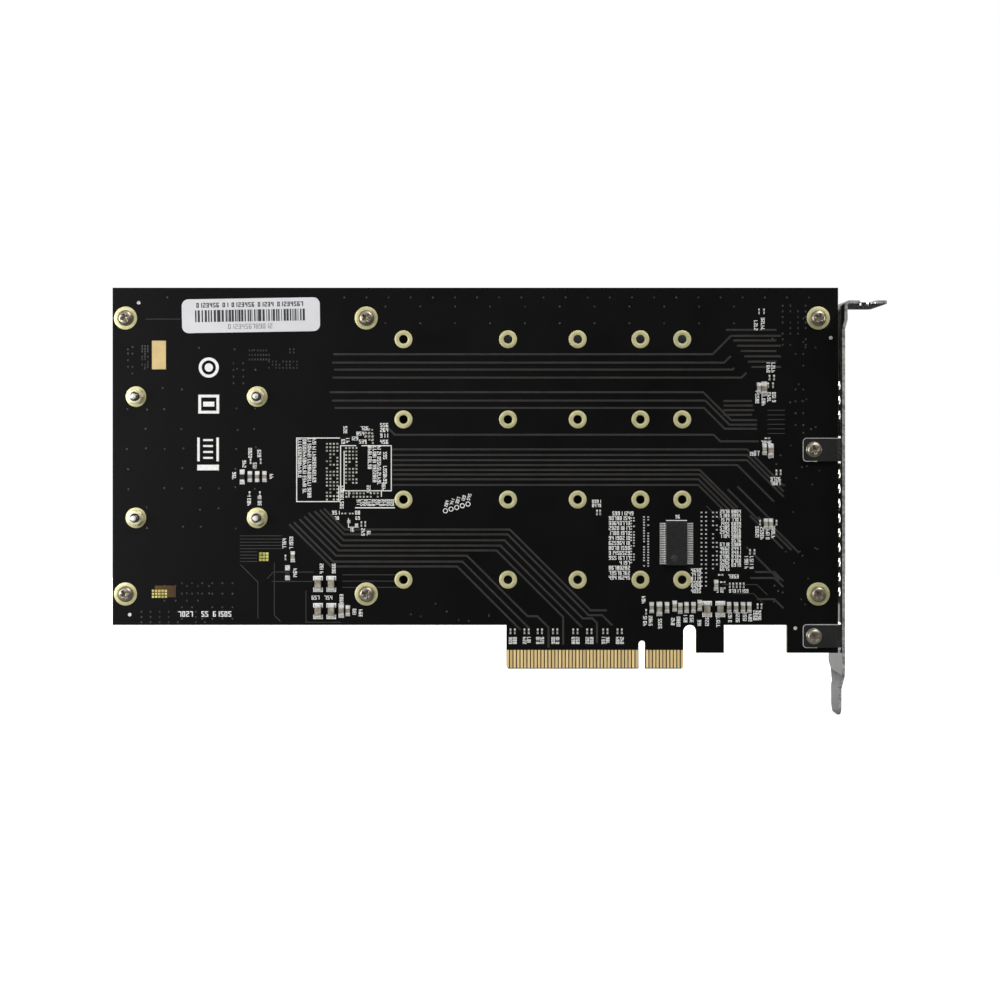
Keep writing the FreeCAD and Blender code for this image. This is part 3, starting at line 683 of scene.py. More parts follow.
def bracket_material():
    """Smooth plated steel, rougher and duller on the sheet's cut edges in front of the tabs."""
    steel = tuple(bpy.context.scene.card_metal.steel_colour)
    material, t, shader = new_material("Plated steel")
    place = t.axes(t.add("ShaderNodeTexCoord").outputs["Object"])
    aim = t.axes(t.add("ShaderNodeNewGeometry").outputs["True Normal"])
    edge_on = t.maths("GREATER_THAN", t.maths("ABSOLUTE", aim["Y"]), 0.8)
    past_tab = t.maths("LESS_THAN", place["Y"], (SOLDER_FACE - 1.5) * MM)
    cut = t.maths("MULTIPLY", edge_on, past_tab)
    sheet = blend(t, mottle(t, 160, stretch=(1, 1, 0.08)), shade(steel, 0.85), steel)
    edge = blend(t, mottle(t, 1100), shade(steel, 0.25), shade(steel, 0.85))
    roughness = {0: cut, 2: mottle(t, 260, 0.10, 0.17), 3: mottle(t, 900, 0.45, 0.65)}
    t.fill(shader, {
        "Base Color": blend(t, cut, sheet, edge),
        "Roughness": t.add("ShaderNodeMix", roughness, data_type="FLOAT").outputs[0],
        "Metallic": t.ramp(cut, 0, 1, 1.0, 0.55),
        "Normal": grain(t, 1500, 6e-7, (1, 1, 0.1)),
    })
    return material


# ---------------------------------------------------------------------------------------
# Finishes of the CAD pieces
# ---------------------------------------------------------------------------------------

DRIVE_ROWS = (1, 2, 3, 4)
BOARD_NODES = {
    "Chip moulding": ("switch_chip", "power_controllers", "memory_chip", "clock_chip"),
    "Capacitor moulding": ("bulk_capacitors",),
    "Pressed iron powder": ("power_inductors",),
    "Nickel can": ("crystal",),
    "Soft heat pad": ("chip_pad", *("drive_pad_%d" % row for row in DRIVE_ROWS)),
    "Socket plastic": tuple("drive_socket_%d" % row for row in DRIVE_ROWS),
    "White nylon": ("fan_header",),
    "Tinned solder": ("fan_header_pins",),
}
METAL_NODES = {
    "Black anodised": ("cover_plate",),
    "Turned brass": ("cover_posts",),
    "Fan plastic": ("fan_frame", "fan_impeller"),
    "Stacked iron": ("fan_stator",),
    "Sintered bronze": ("fan_bearing",),
    "Ground steel": ("fan_shaft",),
}


def dress(nodes, material):
    """Give CAD nodes a material, in every slot that they have."""
    for node in nodes:
        slots = frame["nodes"][node].data.materials
        if not slots:
            slots.append(material)
        for index in range(len(slots)):
            slots[index] = material


def dress_board():
    """Mask, contacts and the dark parts that stand on the board."""
    dress(("board",), board_material())
    dress(("edge_contacts_back", "edge_contacts_front"), contact_material())
    for look, nodes in BOARD_NODES.items():
        dress(nodes, finish(look))


def dress_metal():
    """The bracket, the cover with its posts, and the fan."""
    dress(("bracket",), bracket_material())
    for look, nodes in METAL_NODES.items():
        dress(nodes, finish(look))


# ---------------------------------------------------------------------------------------
# The board's copper
# ---------------------------------------------------------------------------------------


def ring_parts(places, outer, inner, front=True, columns=48):
    """Plated rings: a thin washer on the solder face, and one on the part face if asked.

    The washer's section runs up its inner rim, over a rounded edge, across the land and down
    its outer rim into the board; each point of it is carried round the hole's axis.
    """
    radius = (inner, inner, inner + 0.06, outer - 0.08, outer, outer)
    height = (-SINK, 0.03, PAD_HEIGHT, PAD_HEIGHT, 0.02, -SINK)
    faces = [(SOLDER_FACE, -1)] + [(PART_FACE, 1)] * front
    return [
        turned(column(radius, columns), column(height, columns), places, seat, outward, True)
        for seat, outward in faces
    ]


def add_plated_rings():
    """The rings of the drive holes and the pads under the screw heads and the nuts."""
    look = bpy.context.scene.card_board
    rings = ring_parts(drive_holes(), look.ring_radius, DRIVE_HOLE_RADIUS)
    add_piece("drive_hole_rings", rings, "Ring plating", smooth=40)
    pads = ring_parts(COVER_SCREWS, look.screw_pad_radius, 1.6, front=False)
    pads += ring_parts(FAN_NUTS, look.nut_pad_radius, 1.1, front=False)
    add_piece("screw_pads", pads, "Ring plating", smooth=40)


# Where the sloped ends of the upper pairs stop, past the drive sockets, and how far the first
# four of them rise
FIRST_PAIR_END, DROPPED_PAIR_END, LAST_PAIR_END = 39.9, 33.0, 33.5
UPPER_RISES = (5.3, 1.9, 0.5, 1.4)
# Levels of the long track pairs, from the top row of drives down, and where their straight
# runs start and end: (level, start, end)
UPPER_PAIRS = (
    (90.3, -88.6, 20.3), (87.9, -88.9, 23.6), (85.9, -88.4, 26.0), (83.6, -88.8, 28.6),
    (79.4, -89.6, 17.6), (77.0, -89.0, 18.2), (74.9, -88.2, 17.8), (67.2, -70.9, 20.6),
)
MIDDLE_PAIRS = (
    (63.0, -71.6, 30.2), (61.4, -71.6, 30.2), (59.9, -71.6, 30.2), (58.5, -71.6, 27.4),
    (57.1, -71.6, 16.6), (55.8, -71.6, 16.6), (54.4, -71.6, 16.2), (52.8, -71.6, 16.2),
)
# The pairs that come up from the contacts: (level, start of the level run, its end, how far
# the slope at its start rises, and the corners that follow the slope at its end)
CONTACT_PAIRS = (
    (40.0, -85.2, -37.9, 6.0, ((-14.7, 16.8), (-10.0, 16.8))),
    (38.6, -85.4, -38.5, 7.0, ((-15.3, 15.4), (-11.4, 15.4), (-8.5, 12.5))),
    (36.9, -85.6, -39.4, 8.4, ((-17.0, 14.5), (-14.2, 14.5), (-12.9, 13.2), (-12.9, 7.4))),
    (35.4, -86.3, -40.6, 9.4, ((-17.2, 12.0),)),
    (34.0, -87.1, -41.7, 9.8, ((-22.6, 14.9), (-22.6, 7.0))),
    (32.5, -87.8, -50.2, 10.5, ((-32.8, 15.1), (-30.0, 15.1), (-26.8, 11.9), (-26.8, 6.1))),
    (30.8, -88.6, -51.5, 11.3, ((-32.3, 11.6),)),
    (29.4, -89.1, -53.0, 12.1, ((-34.8, 11.2),)),
)
# Where the short pairs by the bracket start: the sloped ones and the low ones
SLOPED_PAIRS = ((24.6, 51.6), (27.4, 52.4), (31.0, 44.0), (33.4, 43.6), (35.6, 42.8), (30.0, 35.0))
LOW_PAIRS = ((32.4, 27.8), (31.0, 26.1), (33.0, 20.0))


def pair_lanes(path, look):
    """The two lanes of a track pair: the path moved sideways both ways by half the pitch."""
    path = np.asarray(path, float)
    step = sideways(path) * (look.track_width + look.track_gap) / 2
    return [path - step, path + step]


def track_paths():
    """The middle lines of the track pairs, bundle by bundle."""
    paths = []
    for (level, start, end), rise in zip(UPPER_PAIRS, UPPER_RISES):
        paths.append([(start, level), (end, level), (end + rise, level + rise)])
    paths[0].append((FIRST_PAIR_END, paths[0][-1][1]))
    for level, start, end in UPPER_PAIRS[4:7]:
        drop = 8.0 - 0.45 * (79.4 - level)
        paths.append([
            (start, level), (end, level), (end + drop, level - drop),
            (DROPPED_PAIR_END, level - drop),
        ])
    level, start, end = UPPER_PAIRS[7]
    step = 1.9
    paths.append([
        (start - 3, level + 3), (start, level), (end, level), (end + step, level - step),
        (LAST_PAIR_END, level - step),
    ])
    for index, (level, start, end) in enumerate(MIDDLE_PAIRS):
        drop = 10.5 if index < 4 else 12.5 - 0.4 * index
        paths.append([(start, level), (end, level), (end + drop, level - drop)])
    for level, start, end, rise, corners in CONTACT_PAIRS:
        paths.append([(start - rise, level + rise), (start, level), (end, level), *corners])
    paths += [
        [(24.1 + 1.05 * index, z), (38.6 + 1.3 * (index % 2), z)]
        for index, z in enumerate(97.3 - 1.52 * np.arange(8)) if index != 1
    ]
    paths += [
        [(23.4, z), (31.6 + 0.3 * (index % 3), z)]
        for index, z in enumerate(76.9 - 1.33 * np.arange(4))
    ]
    paths += [[(x, z), (x + 9.5, z - 9.5)] for x, z in SLOPED_PAIRS]
    paths += [[(x, z), (38.0, z), (40.6, z - 2.6)] for x, z in LOW_PAIRS]
    return paths


def short_tracks():
    """Short single tracks: the fan-outs by the drive sockets and the thin lines at the left."""
    runs = []
    for index in range(6):
        z = 74.2 - 1.33 * index
        runs.append([(36.0, z), (41.0, z)])
    for index in range(9):
        z = 38.2 - 0.92 * index
        runs.append([(-115.4, z), (-103.2 if index < 5 else -110.4, z)])
    runs += [
        [(-115.2, 29.9), (-110.2, 24.9), (-110.2, 14.5)],
        [(-105.5, 30.5), (-105.5, 15.4), (-103.7, 13.6)],
        [(-142.4, 100.4), (-132.4, 100.4)],
        [(-107.6, 25.9), (-105.7, 27.8), (-94.2, 27.8)], [(-106.2, 25.1), (-94.6, 25.1)],
        [(-96.4, 22.4), (-96.4, 13.4), (-86.4, 13.4)],
        *([(-69.0, z), (-86.0, z)] for z in (23.4, 25.2, 27.0)),
        [(23.0, 24.2), (33.0, 24.2), (36.0, 21.2)], [(26.0, 21.6), (32.0, 21.6), (35.0, 18.6)],
        [(18.5, 46.8), (22.5, 42.8)],
    ]
    return runs


def add_tracks():
    """Every track that shows through the mask as a low, lighter ridge."""
    look = bpy.context.scene.card_board
    lanes = [lane for path in track_paths() for lane in pair_lanes(path, look)]
    parts = [ridge(lane, look.track_width, TRACK_HEIGHT, 0.04) for lane in lanes + short_tracks()]
    add_piece("tracks", parts, "Covered copper")


def round_outlines(places, radius, sides):
    """Polygons that stand for circles about their places."""
    places = np.asarray(places, float).reshape(-1, 2)
    angle = 2 * np.pi * np.arange(sides) / sides
    circle = np.stack([np.cos(angle), np.sin(angle)], -1) * radius
    return places[:, None, :] + circle[None]


# Fields of covered pads: (X range, Z range, steps)
VIA_FIELDS = (
    ((-147.5, -145.9), (84.8, 94.2), (1.3, 1.9)), ((-143.4, -141.7), (86.6, 92.8), (0.8, 0.75)),
    ((-112.6, -106.6), (88.8, 92.2), (0.8, 1.3)), ((-107.0, -98.6), (86.4, 88.4), (1.0, 0.9)),
    ((-101.0, -98.0), (90.8, 92.4), (1.1, 0.9)), ((-117.2, -114.2), (82.0, 87.8), (2.8, 1.9)),
    ((-137.0, -123.0), (19.6, 24.6), (3.2, 2.1)), ((-143.6, -125.0), (13.4, 17.6), (2.6, 1.5)),
    ((40.4, 47.6), (93.0, 105.4), (2.2, 1.6)),
)


def via_places():
    """Where vias tie the ground planes: rows along the top, grids at the left, and loose ones."""
    draw = np.random.default_rng(bpy.context.scene.card_board.seed)
    places = [(x, 106.6) for x in np.arange(-136.2, 52, 6.35) if not -134 < x < -91]
    places += [(x, z) for z in (104.0, 99.2) for x in np.arange(-73.6, 30, 10.0)]
    places += [
        (x + draw.normal(0, 0.25), z + draw.normal(0, 0.25))
        for x in np.arange(-147.5, -107, 5.2)
        for z in np.arange(40.5, 96, 5.7)
        if draw.random() < 0.72 and not (-128 < x < -120 and 54 < z < 90)
    ]
    places += [
        (x, z) for x in np.arange(-132, -116, 2.9) for z in (24.6, 21.6, 17.7, 14.4)
        if draw.random() < 0.8
    ]
    places += [
        (x + draw.normal(0, 1.2), 15.5 + draw.normal(0, 1.6)) for x in np.arange(-66, -40, 3.4)
    ]
    places += [(draw.uniform(36, 51), draw.uniform(15, 104)) for _ in range(34)]
    places += [(x, z) for x in (44.1, 46.3) for z in np.arange(70, 104, 3.4) if draw.random() < 0.7]
    return np.array(places)


def add_vias():
    """Mask-covered vias and pads: low eight-sided studs and small blocks that catch light."""
    draw = np.random.default_rng(bpy.context.scene.card_board.seed + 5)
    parts = [solder_prisms(round_outlines(via_places(), 0.27, 8), TRACK_HEIGHT)]
    for x_range, z_range, step in VIA_FIELDS:
        places = [
            (x, z) for x in np.arange(*x_range, step[0]) for z in np.arange(*z_range, step[1])
            if draw.random() < 0.75
        ]
        parts.append(solder_blocks(places, (0.42, 0.55), TRACK_HEIGHT, 0.04))
    add_piece("vias", parts, "Covered vias")


# ---------------------------------------------------------------------------------------
# White print
# ---------------------------------------------------------------------------------------

# Which of a figure's seven strokes each of the ten digits lights: top, upper right, lower
# right, foot, lower left, upper left, middle
DIGIT_STROKES = (
    (1, 1, 1, 1, 1, 1, 0), (0, 1, 1, 0, 0, 0, 0), (1, 1, 0, 1, 1, 0, 1), (1, 1, 1, 1, 0, 0, 1),
    (0, 1, 1, 0, 0, 1, 1), (1, 0, 1, 1, 0, 1, 1), (1, 0, 1, 1, 1, 1, 1), (1, 1, 1, 0, 0, 0, 0),
    (1, 1, 1, 1, 1, 1, 1), (1, 1, 1, 1, 0, 1, 1),
)
DIGIT_ASPECT = 0.54
DIGIT_ADVANCE = 0.71


def digit_bars(value, w, h, t):
    """One figure's bars, as (left, foot, right, top) in its own cell.

    Upright strokes fill half the height; level ones stop at an upright that is lit, and
    otherwise reach the cell's side.
    """
    top, upper_right, lower_right, foot, lower_left, upper_left, middle = DIGIT_STROKES[value]
    level_strokes = (
        (top, h - t, upper_left, upper_right), (foot, 0, lower_left, lower_right),
        (middle, (h - t) / 2, upper_left or lower_left, upper_right or lower_right),
    )
    uprights = (
        (upper_right, w - t, h / 2), (lower_right, w - t, 0), (lower_left, 0, 0),
        (upper_left, 0, h / 2),
    )
    bars = [(t * left, z, w - t * right, z + t) for lit, z, left, right in level_strokes if lit]
    bars += [(x, z, x + t, z + h / 2) for lit, x, z in uprights if lit]
    return np.array(bars)


def digit_outlines(values, start, height, angle=0.0, weight=0.17):
    """Plain figures in a row: every lit stroke is a four-cornered bar.

    Cell k starts k advances along the row, and the whole row is turned by the angle about
    its start.
    """
    outlines = []
    for index, value in enumerate(values):
        lit = digit_bars(value, DIGIT_ASPECT * height, height, weight * height)
        corners = np.stack([lit[:, [0, 1]], lit[:, [2, 1]], lit[:, [2, 3]], lit[:, [0, 3]]], 1)
        corners[..., 0] += index * DIGIT_ADVANCE * height
        outlines.append(corners)
    return np.concatenate(outlines) @ rotation(angle) + np.array(start)


def drawn_digits(draw, count, start, height, angle=0.0):
    """A row of figures taken at random."""
    return digit_outlines(draw.integers(0, 10, count), start, height, angle)


def bar(x_range, z_range):
    """The outline of one upright block of print."""
    return np.array([[
        (x_range[0], z_range[0]), (x_range[1], z_range[0]), (x_range[1], z_range[1]),
        (x_range[0], z_range[1]),
    ]])


def frame_bars(x_range, z_range, line, sides="lrtb"):
    """The bars of a rectangular outline, with the sides that are asked for."""
    (x0, x1), (z0, z1) = x_range, z_range
    found = {
        "l": bar((x0, x0 + line), (z0, z1)), "r": bar((x1 - line, x1), (z0, z1)),
        "t": bar((x0 + line, x1 - line), (z1 - line, z1)),
        "b": bar((x0 + line, x1 - line), (z0, z0 + line)),
    }
    return [found[side] for side in sides]


def ring_outlines(place, outer, line, sides=28):
    """A printed ring, as a row of four-cornered pieces round it."""
    angle = 2 * np.pi * np.arange(sides + 1) / sides
    out = np.stack([np.cos(angle), np.sin(angle)], -1)
    near, far = out * (outer - line), out * outer
    pieces = np.stack([near[:-1], far[:-1], far[1:], near[1:]], 1)
    return pieces + np.array(place)


def print_rows(draw, x, z, rows, pitch, groups, height=1.1, keep=1.0):
    """Rows of small figures, in groups of (offset, digits)."""
    found = []
    for row in range(rows):
        for offset, count in groups:
            if draw.random() < keep:
                found.append(drawn_digits(draw, count, (x + offset, z - row * pitch), height))
    return found


def print_columns(draw, columns, height=1.05):
    """Figures that read upwards, in columns of (x, foot, length)."""
    counts = [max(1, int(round(length / (DIGIT_ADVANCE * height)))) for _, _, length in columns]
    return [
        drawn_digits(draw, count, (x, foot), height, math.pi / 2)
        for count, (x, foot, _) in zip(counts, columns)
    ]


# Rows of level figures: (x, z, rows, pitch, groups, height, share kept)
PRINT_ROWS = (
    (-8.5, 44.1, 1, 1.0, ((0, 4), (3.1, 4))),
    (-9.5, 42.7, 13, 1.42, ((0, 4), (3.1, 4)), 1.1, 0.96),
    (22.4, 44.7, 15, 1.18, ((0, 4), (3.3, 4)), 1.0, 0.93),
    (-14.3, 47.6, 2, 1.15, ((0, 4),), 0.95),
    (-133.0, 15.0, 1, 1.0, ((0, 4), (6.6, 2), (9.9, 5)), 1.55),
    (-94.8, 19.9, 1, 1.0, ((0, 3), (3.7, 3)), 1.15),
    (30.6, 61.2, 1, 1.0, ((0, 4),)),
    (34.2, 64.4, 1, 1.0, ((0, 4),)),
    (36.9, 54.0, 2, 1.25, ((0, 4),), 1.05),
    (24.8, 26.0, 1, 1.0, ((0, 4),)),
    (21.4, 21.9, 1, 1.0, ((0, 3), (3.6, 8)), 1.0),
    (9.6, 43.2, 1, 1.0, ((0, 2),), 1.0),
    (14.1, 27.8, 6, 1.2, ((0, 4),), 1.05),
    (-88.9, 44.3, 1, 1.0, ((0, 3), (6.6, 2))),
    (-88.2, 42.8, 1, 1.0, ((0, 2), (6.0, 2)), 1.0),
    (-84.0, 39.4, 1, 1.0, ((0, 2),), 1.05),
)

# Columns of upright figures: (right edge, foot, length)
CHIP_COLUMNS = (
    (-97.7, 55.0, 11.2), (-96.3, 50.4, 15.6), (-94.9, 49.2, 17.0), (-93.5, 53.6, 12.8),
    (-84.6, 67.6, 2.4), (-85.2, 64.6, 1.6), (-83.9, 64.9, 1.2),
    (-77.6, 57.4, 6.6), (-76.2, 53.6, 10.4), (-74.9, 52.9, 11.2), (-73.2, 53.2, 5.0),
    (-73.2, 60.2, 2.4), (-85.6, 46.0, 6.8), (-77.9, 50.6, 2.4), (-73.6, 51.4, 2.6),
)
CLUSTER_COLUMNS = (
    (-111.9, 60.6, 2.8), (-109.3, 60.8, 2.4), (-113.6, 57.8, 2.2), (-110.6, 57.2, 2.0),
    (-116.5, 54.4, 2.4), (-105.8, 54.6, 1.8), (-112.2, 46.9, 2.8), (-109.2, 46.9, 2.8),
    (-102.1, 34.6, 3.2), (-100.1, 34.4, 3.4), (-99.0, 26.0, 2.8),
    (-91.4, 27.4, 3.0), (-87.9, 27.4, 3.0), (-85.7, 18.6, 3.2), (-82.0, 15.2, 2.6),
    (-80.2, 15.0, 2.6),
    (-79.5, 38.3, 2.4), (-77.9, 38.3, 1.7),
    (33.2, 97.2, 3.2), (35.2, 97.2, 3.4), (36.8, 85.1, 3.2), (38.2, 85.1, 3.2),
    (33.6, 76.2, 3.4), (35.4, 75.6, 3.8), (37.0, 76.6, 3.2), (38.4, 76.6, 3.2),
    (35.8, 61.4, 2.8), (37.4, 60.4, 3.0), (30.5, 28.8, 3.6), (32.0, 28.8, 3.6),
    (33.6, 37.4, 3.4), (35.0, 37.2, 3.4), (36.6, 37.2, 3.4), (38.2, 37.6, 3.4),
    (1.0, 18.8, 2.6), (1.4, 12.4, 3.0), (3.0, 12.4, 3.0), (5.7, 11.6, 3.0), (9.4, 12.6, 2.6),
    (11.0, 12.2, 3.2), (13.0, 13.4, 2.6), (14.8, 13.4, 2.6), (17.0, 12.0, 2.6),
    (19.2, 12.0, 3.0), (22.4, 12.0, 3.0), (25.8, 13.4, 2.8), (28.0, 13.4, 2.8), (30.0, 13.4, 2.8),
    (31.6, 13.6, 2.6), (33.0, 14.0, 2.8), (34.2, 14.0, 2.8),
)
CONTACT_MARK_X = (-37.1, -33.1, -29.3, -24.9, -19.1, -15.1, -10.5, -6.4)

# Single groups of three figures beside the large chip: (x, z, height)
CHIP_MARKS = (
    (-80.7, 68.5, 1.1), (-81.9, 67.0, 1.1), (-83.6, 65.6, 1.1), (-81.2, 64.7, 1.1),
    (-75.1, 69.4, 1.15), (-75.1, 68.0, 1.15), (-75.1, 66.4, 1.15), (-75.1, 64.6, 1.15),
)
ROUND_TARGETS = ((-144.4, 105.1), (-147.0, 15.6), (54.2, 95.0), (44.0, 11.7))
# Where figures and small frames are printed along the part side's upper edge
REVERSE_FIGURES_X = (-44.0, -21.0, 4.0, 27.0, 52.0, 79.0, 103.0, 131.0)
REVERSE_FRAMES_X = (-3.0, -64.0, -118.0)


def chip_outline_bars():
    """The two printed outlines of the large chip and of the parts beside it."""
    line = 0.26
    found = frame_bars((-99.2, -86.4), (47.9, 66.4), line, "ltb")
    found += frame_bars((-86.6, -71.8), (51.0, 64.2), line, "lrb")
    found += [bar((-80.5, -72.06), (63.94, 64.2)), bar((-86.34, -82.0), (63.94, 64.2))]
    found += [bar((-87.1, -86.84), (47.9, 52.6)), bar((-85.6, -85.34), (51.26, 62.6))]
    found += [bar((-84.2, -83.95), (49.2, 51.3)), bar((-74.9, -74.65), (49.4, 51.3))]
    found += [bar((-82.3, -70.9), (46.1, 46.4))]
    return found


def general_marks():
    """Plain marks where the board's side was printed large: a ring, a square and a bar."""
    found = [ring_outlines((-124.3, 86.5), 2.9, 0.85), ring_outlines((-124.3, 86.5), 1.2, 1.2)]
    found += frame_bars((-127.3, -121.3), (73.3, 78.7), 0.8)
    found += [bar((-125.9, -122.7), (75.3, 76.7))]
    found += [bar((-127.6, -126.9), (59.6, 66.4)), bar((-122.1, -121.4), (59.6, 66.4))]
    found += [bar((-125.9, -123.1), (z, z + 0.55)) for z in (60.3, 62.0, 63.7, 65.4)]
    found += [bar((-127.6, -121.4), (57.0, 58.6))]
    return found


def add_print():
    """All the white print: outlines, figures, plain marks and the four round targets."""
    draw = np.random.default_rng(bpy.context.scene.card_board.seed + 1)
    found = chip_outline_bars() + general_marks() + [bar((6.9, 12.9), (42.5, 42.72))]
    found += frame_bars((-84.3, -81.1), (40.6, 43.3), 0.18, "lb")
    found += print_columns(draw, CHIP_COLUMNS + CLUSTER_COLUMNS)
    for row in PRINT_ROWS:
        found += print_rows(draw, *row)
    # Upright figures: one under each tiny part over the contacts, and ten under the large chip
    upright = [((x + side, 7.2), 1.0) for x in CONTACT_MARK_X for side in (-0.07, 1.17)]
    upright += [((-80.9 + 1.08 * index, 46.8), 0.95) for index in range(10)]
    found += [drawn_digits(draw, 3, start, height, math.pi / 2) for start, height in upright]
    # Five rings in a rising row, each with a steep figure
    for index in range(5):
        x, z = -56.4 + 1.62 * index, 45.4 + 0.48 * index
        found.append(ring_outlines((x, z), 0.72, 0.22, 14))
        found.append(drawn_digits(draw, 3, (x + 0.5, z + 1.0), 0.95, math.radians(72)))
    found += [drawn_digits(draw, 3, (x, z), height) for x, z, height in CHIP_MARKS]
    reverse = [drawn_digits(draw, 4, (x, 106.3), 1.25) * (-1, 1) for x in REVERSE_FIGURES_X]
    for x in REVERSE_FRAMES_X:
        reverse += frame_bars((x, x + 6.0), (106.1, 108.3), 0.16)
    sides = [
        solder_prisms(np.concatenate(found)),
        prisms(np.concatenate(reverse), PART_FACE + INK_HEIGHT, PART_FACE - SINK),
    ]
    add_piece("white_print", sides, "White ink")
    targets = solder_prisms(round_outlines(ROUND_TARGETS, 0.52, 20))
    add_piece("round_targets", targets, "Dull pads")


# ---------------------------------------------------------------------------------------
# Bare pads and small parts
# ---------------------------------------------------------------------------------------

# Length, width and height of small two-ended parts, by case size
SMALL_CASES = {
    "tiny": (1.0, 0.45, 0.35), "small": (2.0, 1.2, 0.55), "medium": (2.6, 1.5, 0.7),
    "large": (2.7, 1.3, 0.6),
}
# Where they lie on the solder side: (x, z, upright)
TINY_PARTS = (
    (-112.3, 59.6, 1), (-109.4, 59.6, 1), (-112.6, 50.2, 1), (-109.6, 50.2, 1),
    *((x + side, 10.8, 1) for x in CONTACT_MARK_X for side in (-0.62, 0.62)),
    (-12.9, 44.9, 1), (-12.0, 44.9, 1), (-102.3, 32.0, 1),
    (33.6, 102.6, 1), (35.0, 102.6, 1), (36.6, 83.6, 1), (37.9, 83.6, 1),
    (36.2, 81.4, 1), (37.6, 81.4, 1), (36.0, 66.2, 0), (33.0, 62.4, 0),
    (38.6, 56.4, 1), (39.8, 56.4, 1), (31.0, 33.6, 1), (32.3, 33.6, 1),
    (33.9, 42.0, 1), (38.6, 42.0, 1), (33.2, 18.0, 1), (34.3, 18.0, 1),
    (-80.5, 41.6, 1), (-79.4, 41.6, 1), (1.2, 16.4, 1),
    *((x, 24.0, 1) for x in (25.2, 26.2, 27.2, 28.2, 29.2)),
    (23.2, 24.9, 0), (23.2, 23.2, 0), (22.6, 27.0, 0),
)
SMALL_PARTS = (
    (-112.5, 55.2, 1), (-110.4, 55.2, 1), (-108.3, 55.2, 1), (-100.2, 32.2, 1),
    (33.6, 80.6, 1), (35.2, 63.0, 1), (35.6, 41.6, 1), (37.0, 41.6, 1),
    (2.8, 17.6, 1), (7.2, 17.6, 1), (9.4, 18.0, 1), (11.0, 17.4, 1), (12.8, 17.6, 1),
    (14.8, 17.6, 1), (27.0, 17.6, 1), (25.0, 17.6, 1), (29.0, 17.6, 1), (30.8, 17.6, 1),
    (16.6, 18.2, 1), (-84.4, 16.7, 1), (21.3, 24.0, 1),
)
MEDIUM_PARTS = ((35.1, 80.4, 1), (37.0, 62.6, 1), (5.0, 17.2, 1), (-86.3, 16.7, 1))
LARGE_PARTS = ((-114.7, 55.1, 1), (-101.7, 27.6, 1))

# Columns of paired pads beside the figures: (x, top, count, pitch, share kept)
PAD_COLUMNS = (
    (0.6, 43.6, 19, 0.78, 0.95), (1.8, 43.6, 19, 0.78, 0.9), (-3.1, 43.3, 18, 0.8, 0.8),
    (-2.3, 43.3, 18, 0.8, 0.8), (17.1, 44.9, 18, 1.24, 1.0), (18.4, 44.9, 18, 1.24, 1.0),
    (20.4, 44.9, 14, 1.24, 0.9), (21.5, 44.9, 14, 1.24, 0.7),
)
# Fields of open pads on a one millimetre grid under the large chip: (X range, Z range, share)
OPEN_FIELDS = (
    ((-90.4, -86.9), (48.6, 64.8), 0.86), ((-84.9, -81.2), (53.4, 63.6), 0.84),
    ((-79.2, -76.4), (64.8, 68.9), 0.7), ((-84.8, -75.6), (49.4, 51.0), 0.9),
    ((-79.4, -77.0), (65.6, 69.4), 0.8),
)


def chip_part_sets(case, places):
    """Body, end caps and solder of two-ended parts, as three lists of blocks.

    A part is a drafted block between two caps; each cap is a little larger than the block,
    and each sits in a drafted solder foot that reaches past it.
    """
    length, width, height = SMALL_CASES[case]
    cap = 0.24 * length
    bodies, caps, feet = [], [], []
    for upright in (0, 1):
        chosen = np.array([(x, z) for x, z, way in places if way == upright]).reshape(-1, 2)
        if not len(chosen):
            continue
        turn = math.pi / 2 * upright
        step = np.array([math.cos(turn), math.sin(turn)]) * (length - cap) / 2
        body, cap_top = (length - cap, width - 0.04), on_solder(height + 0.03)
        bodies.append(drafted_blocks(chosen, body, on_solder(height), SOLDER_FACE, 0.03, turn))
        for side in (-1, 1):
            ends, toes = chosen + side * step, chosen + side * step * 1.5
            caps.append(drafted_blocks(ends, (cap, width), cap_top, SOLDER_FACE, 0.05, turn))
            foot = (cap * 1.9, width * 1.1)
            feet.append(solder_blocks(toes, foot, 0.3 * height, 0.07 * width, turn))
    return bodies, caps, feet


def column_pads():
    """The middles of the paired pads, column by column."""
    draw = np.random.default_rng(bpy.context.scene.card_board.seed + 2)
    return [
        (x, top - pitch * index)
        for x, top, count, pitch, keep in PAD_COLUMNS for index in range(count)
        if draw.random() < keep
    ]


def open_pads():
    """The middles of the open pads, field by field."""
    draw = np.random.default_rng(bpy.context.scene.card_board.seed + 3)
    return [
        (x, z)
        for x_range, z_range, keep in OPEN_FIELDS
        for x in np.arange(*x_range, 1.0) for z in np.arange(*z_range, 1.0)
        if draw.random() < keep
    ]


def add_small_parts():
    """Every small part of the solder side, with the open pads among them."""
    found = [
        chip_part_sets(case, places) for case, places in (
            ("tiny", TINY_PARTS), ("small", SMALL_PARTS), ("medium", MEDIUM_PARTS),
            ("large", LARGE_PARTS),
        )
    ]
    bodies = [block for blocks, _, _ in found[:-1] for block in blocks]
    caps, feet = ([block for sets in found for block in sets[kind]] for kind in (1, 2))
    add_piece("part_bodies", bodies, "Brown ceramic")
    add_piece("resistor_bodies", found[-1][0], "Chip moulding")
    add_piece("part_ends", caps, "Tinned solder")
    add_piece("solder_feet", feet, "Tinned solder")
    pads = solder_blocks(open_pads(), (0.54, 0.5), 0.10, 0.08)
    add_piece("open_pads", pads, "Dull pads")
    paired = column_pads() + [(x, 44.6) for x in (-86.0, -85.1, -83.8, -83.0)]
    square = [(-84.1, 42.3), (-81.9, 41.3)]
    tinned = [solder_blocks(paired, (0.52, 0.42), 0.12, 0.08)]
    tinned.append(solder_blocks(square, (0.95, 0.95), 0.12, 0.08))
    add_piece("paired_pads", tinned, "Tinned solder")


